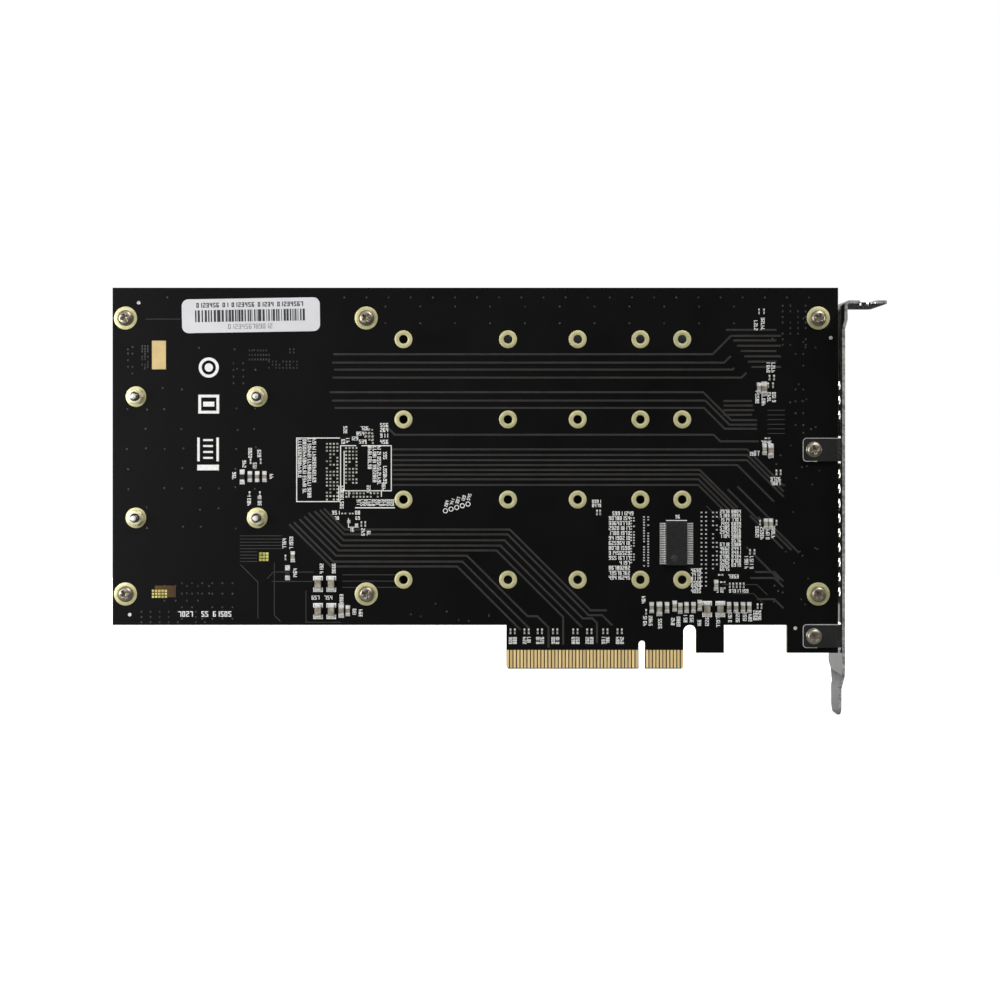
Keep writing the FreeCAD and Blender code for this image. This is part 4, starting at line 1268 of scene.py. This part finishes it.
def add_gold_pads():
    """The gold test pads: a tall one, nine and fifteen dots, and a patch under thin mask."""
    tall = solder_prisms(bar((-140.6, -136.6), (86.0, 94.2)), PAD_HEIGHT)
    add_piece("tall_gold_pad", tall, "Pad gold")
    nine = [(x, z) for x in (-109.45, -108.5, -107.55) for z in (31.3, 32.2, 33.1)]
    fifteen = [(-140.3 + 0.92 * i, 20.7 + 0.86 * k) for i in range(5) for k in range(3)]
    dots = [
        solder_blocks(nine, (0.84, 0.76), BUMP_HEIGHT, 0.1),
        solder_blocks(fifteen, (0.74, 0.66), BUMP_HEIGHT, 0.1),
    ]
    add_piece("dotted_gold_pads", dots, "Bright gold")
    patch = solder_prisms(bar((-139.8, -133.8), (20.6, 23.9)), FILM_HEIGHT)
    add_piece("copper_patch", patch, "Thin mask on copper")


def bracketed_capacitors(middles, top):
    """Large ceramic capacitors between two printed U shapes: body, ends, solder and print.

    Along its length a capacitor is a body, then an end cap on either side, then a sloped foot
    of solder on its pad; each U opens towards the body, with its bar beyond the foot.
    """
    middles = np.asarray(middles, float)
    width, length, cap = 1.75, 3.2, 0.5
    inside, outside, mark_start, mark_end, line = 1.1, 1.38, 1.0, 2.28, 0.3
    bodies = [drafted_blocks(middles, (width, length - 2 * cap), top, SOLDER_FACE, 0.05)]
    ends, feet, marks = [], [], []
    for side in (-1, 1):
        away = np.array([0, side])
        end, foot = middles + away * (length - cap) / 2, middles + away * (length / 2 + 0.05)
        ends.append(drafted_blocks(end, (width + 0.08, cap), top - 0.03, SOLDER_FACE, 0.06))
        feet.append(solder_blocks(foot, (width + 0.25, 0.95), 0.45, 0.2))
        for x, z in middles:
            far = z + side * mark_end
            reach = sorted((z + side * mark_start, far))
            marks += [
                bar((x - outside, x - inside), reach), bar((x + inside, x + outside), reach),
                bar((x - inside, x + inside), sorted((far, far - side * line))),
            ]
    return bodies, ends, feet, marks


def add_supply_capacitors():
    """The four supply capacitors, in place of their plain solids, and two more like them."""
    low, high = node_limits("supply_capacitors")
    shift, half_x, half_z = (0.35, 0.2), 1.9, 3.9
    filter_places, filter_height = ((18.7, 17.2), (22.5, 17.2)), 0.8
    middle = (low[[0, 2]] + high[[0, 2]]) / 2 + shift
    places = [middle + (sx * half_x, sz * half_z) for sx in (-1, 1) for sz in (-1, 1)]
    four = bracketed_capacitors(places, low[1])
    two = bracketed_capacitors(filter_places, on_solder(filter_height))
    add_piece(
        "supply_capacitor_bodies", four[0], "Brown ceramic",
        replaces=("supply_capacitors",),
    )
    add_piece("filter_capacitor_bodies", two[0], "Brown ceramic")
    ends, feet, marks = (one + other for one, other in zip(four[1:], two[1:]))
    add_piece("capacitor_ends", ends, "Tinned solder")
    add_piece("capacitor_solder", feet, "Tinned solder")
    marks = solder_prisms(np.concatenate(marks))
    add_piece("capacitor_marks", marks, "White ink")


def add_clock_leads():
    """The clock chip's gull-wing leads, on both long sides, and the pads that they stand on.

    A lead's middle line leaves the body level, drops on a slope and ends in a flat foot; its
    section is a flat strip, and the same lead is repeated along the body at its pitch.
    """
    low, high = node_limits("clock_chip")
    middle_x, middle_z = (low[0] + high[0]) / 2, (low[2] + high[2]) / 2
    count, pitch, width, thick, leaves_at = 24, 0.5, 0.24, 0.13, 0.55
    half_body = (high[0] - low[0]) / 2
    line = np.array([
        (half_body - 0.25, leaves_at), (half_body + 0.28, leaves_at),
        (half_body + 0.5, thick / 2), (half_body + 1.05, thick / 2),
    ])
    offset = sideways(line) * thick / 2
    section = np.concatenate([line + offset, (line - offset)[::-1]])
    corners = len(section)
    ring = np.arange(corners)
    after = (ring + 1) % corners
    sides = np.stack([ring, ring + corners, after + corners, after], -1)
    strips = np.array([(0, 1, 6, 7), (1, 2, 5, 6), (2, 3, 4, 5)])
    faces = np.concatenate([sides, strips, strips + corners])
    starts = middle_z + (np.arange(count) - (count - 1) / 2) * pitch
    parts, pads = [], []
    for side in (-1, 1):
        points = np.empty((count, 2, corners, 3))
        points[..., 0] = middle_x + side * section[:, 0]
        points[..., 1] = SOLDER_FACE - PAD_HEIGHT - section[:, 1]
        points[:, 0, :, 2] = (starts - width / 2)[:, None]
        points[:, 1, :, 2] = (starts + width / 2)[:, None]
        parts.append((points.reshape(-1, 3), [copies(2 * corners, faces, count)]))
        pads += [(middle_x + side * (half_body + 1.0), z) for z in starts]
    add_piece("clock_leads", parts, "Tinned solder")
    feet = solder_blocks(pads, (1.5, 0.3), 0.07, 0.03)
    add_piece("clock_pads", feet, "Tinned solder")
    radius, height = column([0, 0.8, 1.05], 36), column([0.01, 0.015, -SINK], 36)
    dimple = turned(radius, height, [(low[0] + 2.3, low[2] + 2.2)], low[1], -1)
    add_piece("clock_mark", dimple, "Moulded dimple", smooth=40)


# The label's place and the radius of its corners, in millimetres
LABEL_MIDDLE = (-112.2, 101.5)
LABEL_CORNER = 1.9
# The label's upper row of figures: (start, how many)
LABEL_FIGURES = ((-15.6, 7), (-8.1, 2), (-5.5, 7), (2.0, 5), (7.6, 8))


def label_outline(width, height, steps=8):
    """A rectangle with round corners, about its middle."""
    corners = []
    for start, (sx, sz) in zip((0, 90, 180, 270), ((1, 1), (-1, 1), (-1, -1), (1, -1))):
        angle = np.radians(start + np.linspace(0, 90, steps))
        centre = np.array([sx * (width / 2 - LABEL_CORNER), sz * (height / 2 - LABEL_CORNER)])
        corners.append(centre + LABEL_CORNER * np.stack([np.cos(angle), np.sin(angle)], -1))
    return np.concatenate(corners)


def label_bars():
    """The row of bars, whose widths and gaps are drawn from a few sizes."""
    draw = np.random.default_rng(bpy.context.scene.card_board.seed + 4)
    found, x = [], -16.0
    while x < 15.6:
        width = draw.choice((0.2, 0.4, 0.62, 0.95), p=(0.35, 0.3, 0.2, 0.15))
        found.append(bar((x, x + width), (-1.75, 1.65)))
        x += width + draw.choice((0.18, 0.34, 0.5), p=(0.4, 0.35, 0.25))
    return found


def add_label():
    """The paper label with its row of bars and two rows of plain figures.

    Everything on it is turned by the label's tilt about its middle.
    """
    look = bpy.context.scene.card_label

    def on_label(outlines):
        """Outlines about the label's middle, turned and moved to their place."""
        return outlines @ rotation(look.tilt) + np.array(LABEL_MIDDLE)

    paper = solder_prisms(on_label(label_outline(look.width, look.height))[None], LABEL_HEIGHT)
    add_piece("label", paper, "Label paper")
    black = label_bars() + [
        digit_outlines(np.arange(count) % 10, (start, 2.4), 1.35, weight=0.21)
        for start, count in LABEL_FIGURES
    ]
    grey = [digit_outlines(np.arange(13) % 10, (-6.6, -3.85), 1.4, weight=0.14)]
    for name, found, ink in (
        ("label_print", black, "Label ink"), ("label_small_print", grey, "Grey label ink"),
    ):
        quads = on_label(np.concatenate(found))
        printed = prisms(quads, on_solder(LABEL_HEIGHT + 0.02), on_solder(LABEL_HEIGHT - SINK))
        add_piece(name, printed, ink)


# ---------------------------------------------------------------------------------------
# Screws, nuts and thin trim
# ---------------------------------------------------------------------------------------

# Screws: (head's radius, shank's radius, thread's pitch); nuts: (across flats, bore, radius of
# the round face)
COVER_SCREW = (2.3, 1.42, 0.5)
FAN_SCREW = (1.9, 0.97, 0.4)
BRACKET_SCREW = (2.3, 1.2, 0.45)
FAN_NUT = (4.0, 1.3, 2.0)
BRACKET_NUT = (5.0, 1.28, 2.5)


def cross_head(sizes, height, length, places, seat, outward, turns):
    """Pan heads with a cross recess, on a threaded shank.

    Head height at radius r is H (1 - (r/R)^6)^(1/2) (1 - 0.12 (r/R)^2). The recess takes
    away a depth that falls to nothing at the wall of a cross: at local (x, y), the wall is
    where the lesser of |x| and |y| equals the arm's half width, or the greater its length.
    The shank's radius falls and rises with the height less the turn, as a thread does.
    """
    radius, shank, thread = sizes
    columns, rings = 72, 26
    arm_half_width, arm_reach, tip = 0.11 * radius, 0.46 * radius, 0.25
    share = np.linspace(0, 1, rings)[:, None]
    r = share * radius
    angle = 2 * np.pi * np.arange(columns)[None] / columns
    dome = height * np.sqrt(np.clip(1 - share**6, 0, 1)) * (1 - 0.12 * share**2)
    x, y = np.abs(r * np.cos(angle)), np.abs(r * np.sin(angle))
    lesser, greater = np.minimum(x, y), np.maximum(x, y)
    side_wall, end_wall, recess_depth = 0.08 * radius, 0.1 * radius, 0.55 * height
    across = lesser - arm_half_width * (1.25 - 0.5 * greater / radius)
    wall = np.maximum(across / side_wall, (greater - arm_reach) / end_wall)
    depth = recess_depth * np.clip(0.5 - 0.5 * wall, 0, 1) * (1 - 0.5 * greater / radius)
    rows_per_turn, groove_share = 6, 0.18
    rows = max(4, int(rows_per_turn * length / thread))
    along = -np.linspace(0, 1, rows)[:, None] * (length - tip)
    groove = groove_share * thread * (
        1 + np.cos(2 * np.pi * (along / thread - np.arange(columns)[None] / columns))
    )
    end_radii, end_heights = column([shank * 0.86, 0], columns), column([-length] * 2, columns)
    radii = [np.broadcast_to(r, (rings, columns)), shank - groove, end_radii]
    heights = [dome - depth, np.broadcast_to(along, (rows, columns)), end_heights]
    profile = np.concatenate(radii), np.concatenate(heights)
    return turned(*profile, places, seat, outward, turns=turns)


def hex_nuts(sizes, height, places, seat, outward, turns):
    """Chamfered hexagon nuts: a ring whose outer radius follows the six flats.

    The flats' radius at angle a is (across / 2) / cos(a from the nearest flat's middle). On
    both faces it is cut by a 30 degree cone from the round radius, so the corners drop.
    """
    across, bore, round_radius = sizes
    columns, bevel = 72, 0.1
    angle = 2 * np.pi * np.arange(columns) / columns
    flats = across / 2 / np.cos((angle + np.pi / 6) % (np.pi / 3) - np.pi / 6)
    fall = np.clip(flats - round_radius, 0, None) * math.tan(math.radians(30))
    flat_edge = np.minimum(flats, round_radius)
    even = np.ones(columns)
    inner, lip = bore * even, (bore + 0.12) * even
    radius = np.stack([inner, lip, flat_edge, flats, flats, flat_edge, lip, inner])
    level = np.stack([
        bevel * even, 0 * even, 0 * even, fall, height - fall, height * even, height * even,
        (height - bevel) * even,
    ])
    return turned(radius, level, places, seat, outward, close_rows=True, turns=turns)


def dress_fixing(node, part, look="Plated screws", smooth=50):
    """Add detailed screws or nuts in place of a node's plain solids."""
    add_piece(node + "_dressed", part, look, smooth=smooth, replaces=(node,))


def add_fixings():
    """Cover screws, fan screws and nuts, and bracket screws, in place of their plain solids."""
    fan_top, tab = levels("fan_frame")[1], SOLDER_FACE - BRACKET_SHEET
    head, tip = levels("cover_screws")
    dress_fixing("cover_screws", cross_head(
        COVER_SCREW, SOLDER_FACE - head, tip - SOLDER_FACE, COVER_SCREWS, SOLDER_FACE - 0.02, -1,
        (0.5, 0.3, 1.2, 0.9, 0.75, 1.1),
    ))
    tip, head = levels("fan_screws")
    dress_fixing("fan_screws", cross_head(
        FAN_SCREW, head - fan_top, fan_top - tip, FAN_NUTS, fan_top, 1, (0.2, 0.9, 0.5, 1.3)
    ))
    low, high = levels("fan_nuts")
    fan_nuts = hex_nuts(FAN_NUT, high - low, FAN_NUTS, high - PAD_HEIGHT, -1, (0.2, 0.5, 0.0, 0.8))
    dress_fixing("fan_nuts", fan_nuts, "Yellow nuts", 35)
    # Painted highlight: a bright cap in the solder finish on the end of each fan screw, for the
    # light that the screw's end catches
    radius, height = column([0, 0.45, 0.72, 0.78], 32), column([0.08, 0.07, 0.03, -SINK], 32)
    tips = turned(radius, height, FAN_NUTS, tip, -1)
    add_piece("screw_tips", tips, "Tinned solder", smooth=40)
    head, tip = levels("bracket_screws")
    dress_fixing("bracket_screws", cross_head(
        BRACKET_SCREW, tab - head, tip - tab, BRACKET_SCREWS, tab, -1, (0.6, 0.2)
    ))
    low, high = levels("bracket_nuts")
    bracket_nuts = hex_nuts(BRACKET_NUT, high - low, BRACKET_SCREWS, PART_FACE, 1, (0.1, 0.6))
    dress_fixing("bracket_nuts", bracket_nuts, smooth=35)


def add_tab_edges():
    """The painted highlights along the edges of the bracket's two tabs.

    Each is a low ridge on the tab's face that follows its outline: along the top, round the
    corner, down the free end and a little way back along the foot.
    """
    left, right, corner = node_limits("bracket")[0][0] + 0.1, 56.2, 1.0
    angle = np.radians(np.linspace(90, 180, 6))
    bend = corner * np.stack([1 + np.cos(angle), np.sin(angle) - 1], -1)
    parts = []
    for _, z in BRACKET_SCREWS:
        top, foot = z + TAB_HEIGHT / 2, z - TAB_HEIGHT / 2
        upper = bend + (left, top)
        lower = upper[::-1] * (1, -1) + (0, top + foot)
        line = np.concatenate([[(right, top)], upper, lower, [(left + 4.0, foot)]])
        parts.append(ridge(line, 0.16, 0.03, 0.03, SOLDER_FACE - BRACKET_SHEET))
    # Painted highlight: bright strips for the light that the tabs' edges catch
    add_piece("tab_edges", parts, "Worn steel edge")


def add_socket_tails():
    """Solder tails behind each drive socket, half a millimetre apart."""
    count, pitch = 38, 0.5
    tails = []
    for row in DRIVE_ROWS:
        low, high = node_limits("drive_socket_%d" % row)
        places = (low[2] + high[2]) / 2 + (np.arange(count) - (count - 1) / 2) * pitch
        tails += [(high[0] + 0.35, z) for z in places]
    tail = drafted_blocks(tails, (1.0, 0.22), PART_FACE + 0.32, PART_FACE - SINK, 0.04)
    add_piece("socket_tails", tail, "Tinned solder")


def add_hub_disc():
    """A plain paper disc on the fan's hub, with a printed ring and a short bar; it turns too."""
    low, high = node_limits("fan_impeller")
    middle = ((low[0] + high[0]) / 2, (low[2] + high[2]) / 2)
    face, reach, thick = high[1], 5.2, 0.05
    radius, height = column([0, reach - 0.1, reach], 64), column([thick, thick, -SINK], 64)
    disc = turned(radius, height, [middle], face, 1)
    add_piece("hub_disc", disc, "Hub paper", body="fan_rotor", smooth=30)
    marks = np.concatenate([
        ring_outlines(middle, reach - 0.5, 0.25, 48),
        bar((middle[0] - 2.2, middle[0] + 2.2), (middle[1] - 0.45, middle[1] + 0.45)),
    ])
    printed = prisms(marks, face + 0.08, face + 0.03)
    add_piece("hub_marks", printed, "Hub ink", body="fan_rotor")


# ---------------------------------------------------------------------------------------
# Studio
# ---------------------------------------------------------------------------------------

# Where the camera stands, in metres; its distance from the board is the user's to change
CAMERA_X, CAMERA_Z = -0.0436, 0.0657


def add_area_light(name, place, target, size, power):
    """A soft light at a place, aimed at a target, both in metres."""
    light = bpy.data.lights.new(name, "AREA")
    light.shape = "RECTANGLE"
    light.size, light.size_y = size
    light.energy = power
    lamp = bpy.data.objects.new(name, light)
    bpy.context.scene.collection.objects.link(lamp)
    lamp.location = place
    lamp.rotation_euler = (Vector(target) - Vector(place)).to_track_quat("-Z", "Y").to_euler()


def add_world():
    """White to the eye; for the light that it gives, bright above, behind and to both sides.

    The strength is the greater of a ramp in height, and of the greater of two level ramps:
    one in the distance to either side and one in the distance behind the card. The level
    ones end at the horizon, so it is dark in front and below.
    """
    world = bpy.data.worlds.new("Studio")
    world.use_nodes = True
    world.node_tree.nodes.clear()
    t = Tree(world.node_tree)
    is_seen = t.add("ShaderNodeLightPath").outputs["Is Camera Ray"]
    aim = t.axes(t.add("ShaderNodeTexCoord").outputs["Generated"])
    upward = t.ramp(aim["Z"], 0.12, 0.6, 0.03, 0.6)
    side = t.ramp(t.maths("ABSOLUTE", aim["X"]), 0.82, 0.97, 0.0, 0.5)
    behind = t.ramp(aim["Y"], 0.2, 0.7, 0.0, 0.45)
    above = t.ramp(aim["Z"], -0.02, 0.06)
    level = t.maths("MULTIPLY", above, t.maths("MAXIMUM", side, behind))
    strength = t.maths("MAXIMUM", upward, level)
    white = {"Color": (1, 1, 1, 1)}
    lit = t.add("ShaderNodeBackground", {**white, "Strength": strength}).outputs[0]
    seen = t.add("ShaderNodeBackground", {**white, "Strength": 1.0}).outputs[0]
    mixed = t.add("ShaderNodeMixShader", {0: is_seen, 1: lit, 2: seen})
    t.add("ShaderNodeOutputWorld", {0: mixed.outputs[0]})
    bpy.context.scene.world = world


def add_floor(x, z, radius=0.5, columns=96):
    """A round floor, near white to the eye, that sends up less light in front of the card."""
    angle = 2 * np.pi * np.arange(columns) / columns
    points = np.stack([x + radius * np.cos(angle), radius * np.sin(angle), z + 0 * angle], -1)
    mesh = bpy.data.meshes.new("floor")
    mesh.from_pydata(points.tolist(), [], [list(range(columns))])
    material, t, shader = new_material("Pale floor")
    seen = t.add("ShaderNodeLightPath").outputs["Is Camera Ray"]
    place = t.axes(t.add("ShaderNodeTexCoord").outputs["Object"])
    ahead = t.ramp(place["Y"], -0.07, -0.03, 0.02, 0.3)
    pale = blend(t, mottle(t, 4), (0.90, 0.90, 0.90), (0.93, 0.93, 0.93))
    t.fill(shader, {
        "Base Color": blend(t, seen, ahead, pale),
        "Emission Color": blend(t, seen, (0, 0, 0), (0.35, 0.35, 0.35)),
        "Emission Strength": 1.0,
        "Roughness": 0.9,
        "Specular IOR Level": 0.0,
    })
    mesh.materials.append(material)
    floor = bpy.data.objects.new("floor", mesh)
    bpy.context.scene.collection.objects.link(floor)
    floor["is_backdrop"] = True


def add_stage():
    """Floor, lights, world and the camera, square to the solder side."""
    look = bpy.context.scene.card_stage
    low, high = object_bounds()
    middle = (low + high) / 2
    add_floor(middle[0], low[2])
    add_world()
    centre = (middle[0], 0, middle[2])
    add_area_light("key", (-0.45, -0.36, 0.08), centre, (0.35, 0.22), look.key_power)
    add_area_light("fill", (0.30, -0.36, 0.72), centre, (0.5, 0.4), look.fill_power)
    add_area_light("back", (0.2, 0.8, 0.7), centre, (0.9, 0.6), look.fill_power * 1.6)

    camera = bpy.data.objects.new("camera", bpy.data.cameras.new("camera"))
    bpy.context.scene.collection.objects.link(camera)
    camera.location = (CAMERA_X, SOLDER_FACE * MM - look.camera_distance, CAMERA_Z)
    camera.rotation_euler = (math.pi / 2, 0, 0)
    camera.data.lens = look.lens
    camera.data.sensor_width = 36
    camera.data.shift_x, camera.data.shift_y = 0.01, -0.06
    camera.data.clip_start = 0.01
    bpy.context.scene.camera = camera
    bpy.context.scene.view_settings.view_transform = "Standard"


# ---------------------------------------------------------------------------------------
# Operators, panel and registration
# ---------------------------------------------------------------------------------------


class CARD_OT_dress_board(bpy.types.Operator):
    """Give the board and what stands on it their finishes"""

    bl_idname = "card.dress_board"
    bl_label = "Finish the board"
    bl_options = {"REGISTER", "UNDO"}

    def execute(self, context):
        dress_board()
        return {"FINISHED"}


class CARD_OT_dress_metal(bpy.types.Operator):
    """Give the bracket, the cover and the fan their finishes"""

    bl_idname = "card.dress_metal"
    bl_label = "Finish the metal and fan"
    bl_options = {"REGISTER", "UNDO"}

    def execute(self, context):
        dress_metal()
        return {"FINISHED"}


class CARD_OT_add_tracks(bpy.types.Operator):
    """Add the tracks that show through the mask"""

    bl_idname = "card.add_tracks"
    bl_label = "Add tracks"
    bl_options = {"REGISTER", "UNDO"}

    def execute(self, context):
        add_tracks()
        return {"FINISHED"}


class CARD_OT_add_vias(bpy.types.Operator):
    """Add the vias and pads that the mask covers"""

    bl_idname = "card.add_vias"
    bl_label = "Add vias"
    bl_options = {"REGISTER", "UNDO"}

    def execute(self, context):
        add_vias()
        return {"FINISHED"}


class CARD_OT_add_plated_rings(bpy.types.Operator):
    """Add the rings and pads round the holes"""

    bl_idname = "card.add_plated_rings"
    bl_label = "Add plated rings"
    bl_options = {"REGISTER", "UNDO"}

    def execute(self, context):
        add_plated_rings()
        return {"FINISHED"}


class CARD_OT_add_gold_pads(bpy.types.Operator):
    """Add the bare gold pads"""

    bl_idname = "card.add_gold_pads"
    bl_label = "Add gold pads"
    bl_options = {"REGISTER", "UNDO"}

    def execute(self, context):
        add_gold_pads()
        return {"FINISHED"}


class CARD_OT_add_print(bpy.types.Operator):
    """Add the white print of both sides"""

    bl_idname = "card.add_print"
    bl_label = "Add print"
    bl_options = {"REGISTER", "UNDO"}

    def execute(self, context):
        add_print()
        return {"FINISHED"}


class CARD_OT_add_label(bpy.types.Operator):
    """Add the paper label with its bars and figures"""

    bl_idname = "card.add_label"
    bl_label = "Add label"
    bl_options = {"REGISTER", "UNDO"}

    def execute(self, context):
        add_label()
        return {"FINISHED"}


class CARD_OT_add_small_parts(bpy.types.Operator):
    """Add the small parts and open pads of the solder side"""

    bl_idname = "card.add_small_parts"
    bl_label = "Add small parts"
    bl_options = {"REGISTER", "UNDO"}

    def execute(self, context):
        add_small_parts()
        return {"FINISHED"}


class CARD_OT_add_supply_capacitors(bpy.types.Operator):
    """Add the large capacitors between their printed marks"""

    bl_idname = "card.add_supply_capacitors"
    bl_label = "Add supply capacitors"
    bl_options = {"REGISTER", "UNDO"}

    def execute(self, context):
        add_supply_capacitors()
        return {"FINISHED"}


class CARD_OT_add_clock_leads(bpy.types.Operator):
    """Add the clock chip's leads, pads and dimple"""

    bl_idname = "card.add_clock_leads"
    bl_label = "Add clock leads"
    bl_options = {"REGISTER", "UNDO"}

    def execute(self, context):
        add_clock_leads()
        return {"FINISHED"}


class CARD_OT_add_fixings(bpy.types.Operator):
    """Add the detailed screws and nuts"""

    bl_idname = "card.add_fixings"
    bl_label = "Add fixings"
    bl_options = {"REGISTER", "UNDO"}

    def execute(self, context):
        add_fixings()
        return {"FINISHED"}


class CARD_OT_add_tab_edges(bpy.types.Operator):
    """Add the painted highlights along the edges of the bracket's tabs"""

    bl_idname = "card.add_tab_edges"
    bl_label = "Add tab edges"
    bl_options = {"REGISTER", "UNDO"}

    def execute(self, context):
        add_tab_edges()
        return {"FINISHED"}


class CARD_OT_add_socket_tails(bpy.types.Operator):
    """Add the solder tails behind the drive sockets"""

    bl_idname = "card.add_socket_tails"
    bl_label = "Add socket tails"
    bl_options = {"REGISTER", "UNDO"}

    def execute(self, context):
        add_socket_tails()
        return {"FINISHED"}


class CARD_OT_add_hub_disc(bpy.types.Operator):
    """Add the plain disc on the fan's hub"""

    bl_idname = "card.add_hub_disc"
    bl_label = "Add hub disc"
    bl_options = {"REGISTER", "UNDO"}

    def execute(self, context):
        add_hub_disc()
        return {"FINISHED"}


class CARD_OT_add_stage(bpy.types.Operator):
    """Add the floor, the lights, the world and the camera"""

    bl_idname = "card.add_stage"
    bl_label = "Add studio"
    bl_options = {"REGISTER", "UNDO"}

    def execute(self, context):
        add_stage()
        return {"FINISHED"}


OPERATORS = (
    CARD_OT_dress_board,
    CARD_OT_dress_metal,
    CARD_OT_add_tracks,
    CARD_OT_add_vias,
    CARD_OT_add_plated_rings,
    CARD_OT_add_gold_pads,
    CARD_OT_add_print,
    CARD_OT_add_label,
    CARD_OT_add_small_parts,
    CARD_OT_add_supply_capacitors,
    CARD_OT_add_clock_leads,
    CARD_OT_add_fixings,
    CARD_OT_add_tab_edges,
    CARD_OT_add_socket_tails,
    CARD_OT_add_hub_disc,
    CARD_OT_add_stage,
)


class CARD_PT_looks(bpy.types.Panel):
    """Lists the card's sizes, colours and steps."""

    bl_label = "Card"
    bl_idname = "CARD_PT_looks"
    bl_space_type = "VIEW_3D"
    bl_region_type = "UI"
    bl_category = "Card"

    def draw(self, context):
        for group in GROUPS:
            settings = getattr(context.scene, group)
            box = self.layout.box()
            for name in settings.__annotations__:
                box.prop(settings, name)
        for made in OPERATORS:
            self.layout.operator(made.bl_idname)


GROUPS = {
    "card_board": CardBoardLook, "card_metal": CardMetalLook, "card_label": CardLabelLook,
    "card_stage": CardStageLook,
}


def register():
    for made in (*GROUPS.values(), *OPERATORS, CARD_PT_looks):
        bpy.utils.register_class(made)
    for name, group in GROUPS.items():
        setattr(bpy.types.Scene, name, PointerProperty(type=group))


def unregister():
    for name in GROUPS:
        delattr(bpy.types.Scene, name)
    for made in reversed((*GROUPS.values(), *OPERATORS, CARD_PT_looks)):
        bpy.utils.unregister_class(made)


def main():
    """Register and run every step in order."""
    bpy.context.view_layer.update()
    register()
    for made in OPERATORS:
        getattr(bpy.ops.card, made.bl_idname.split(".")[1])()


if __name__ == "__main__":
    main()
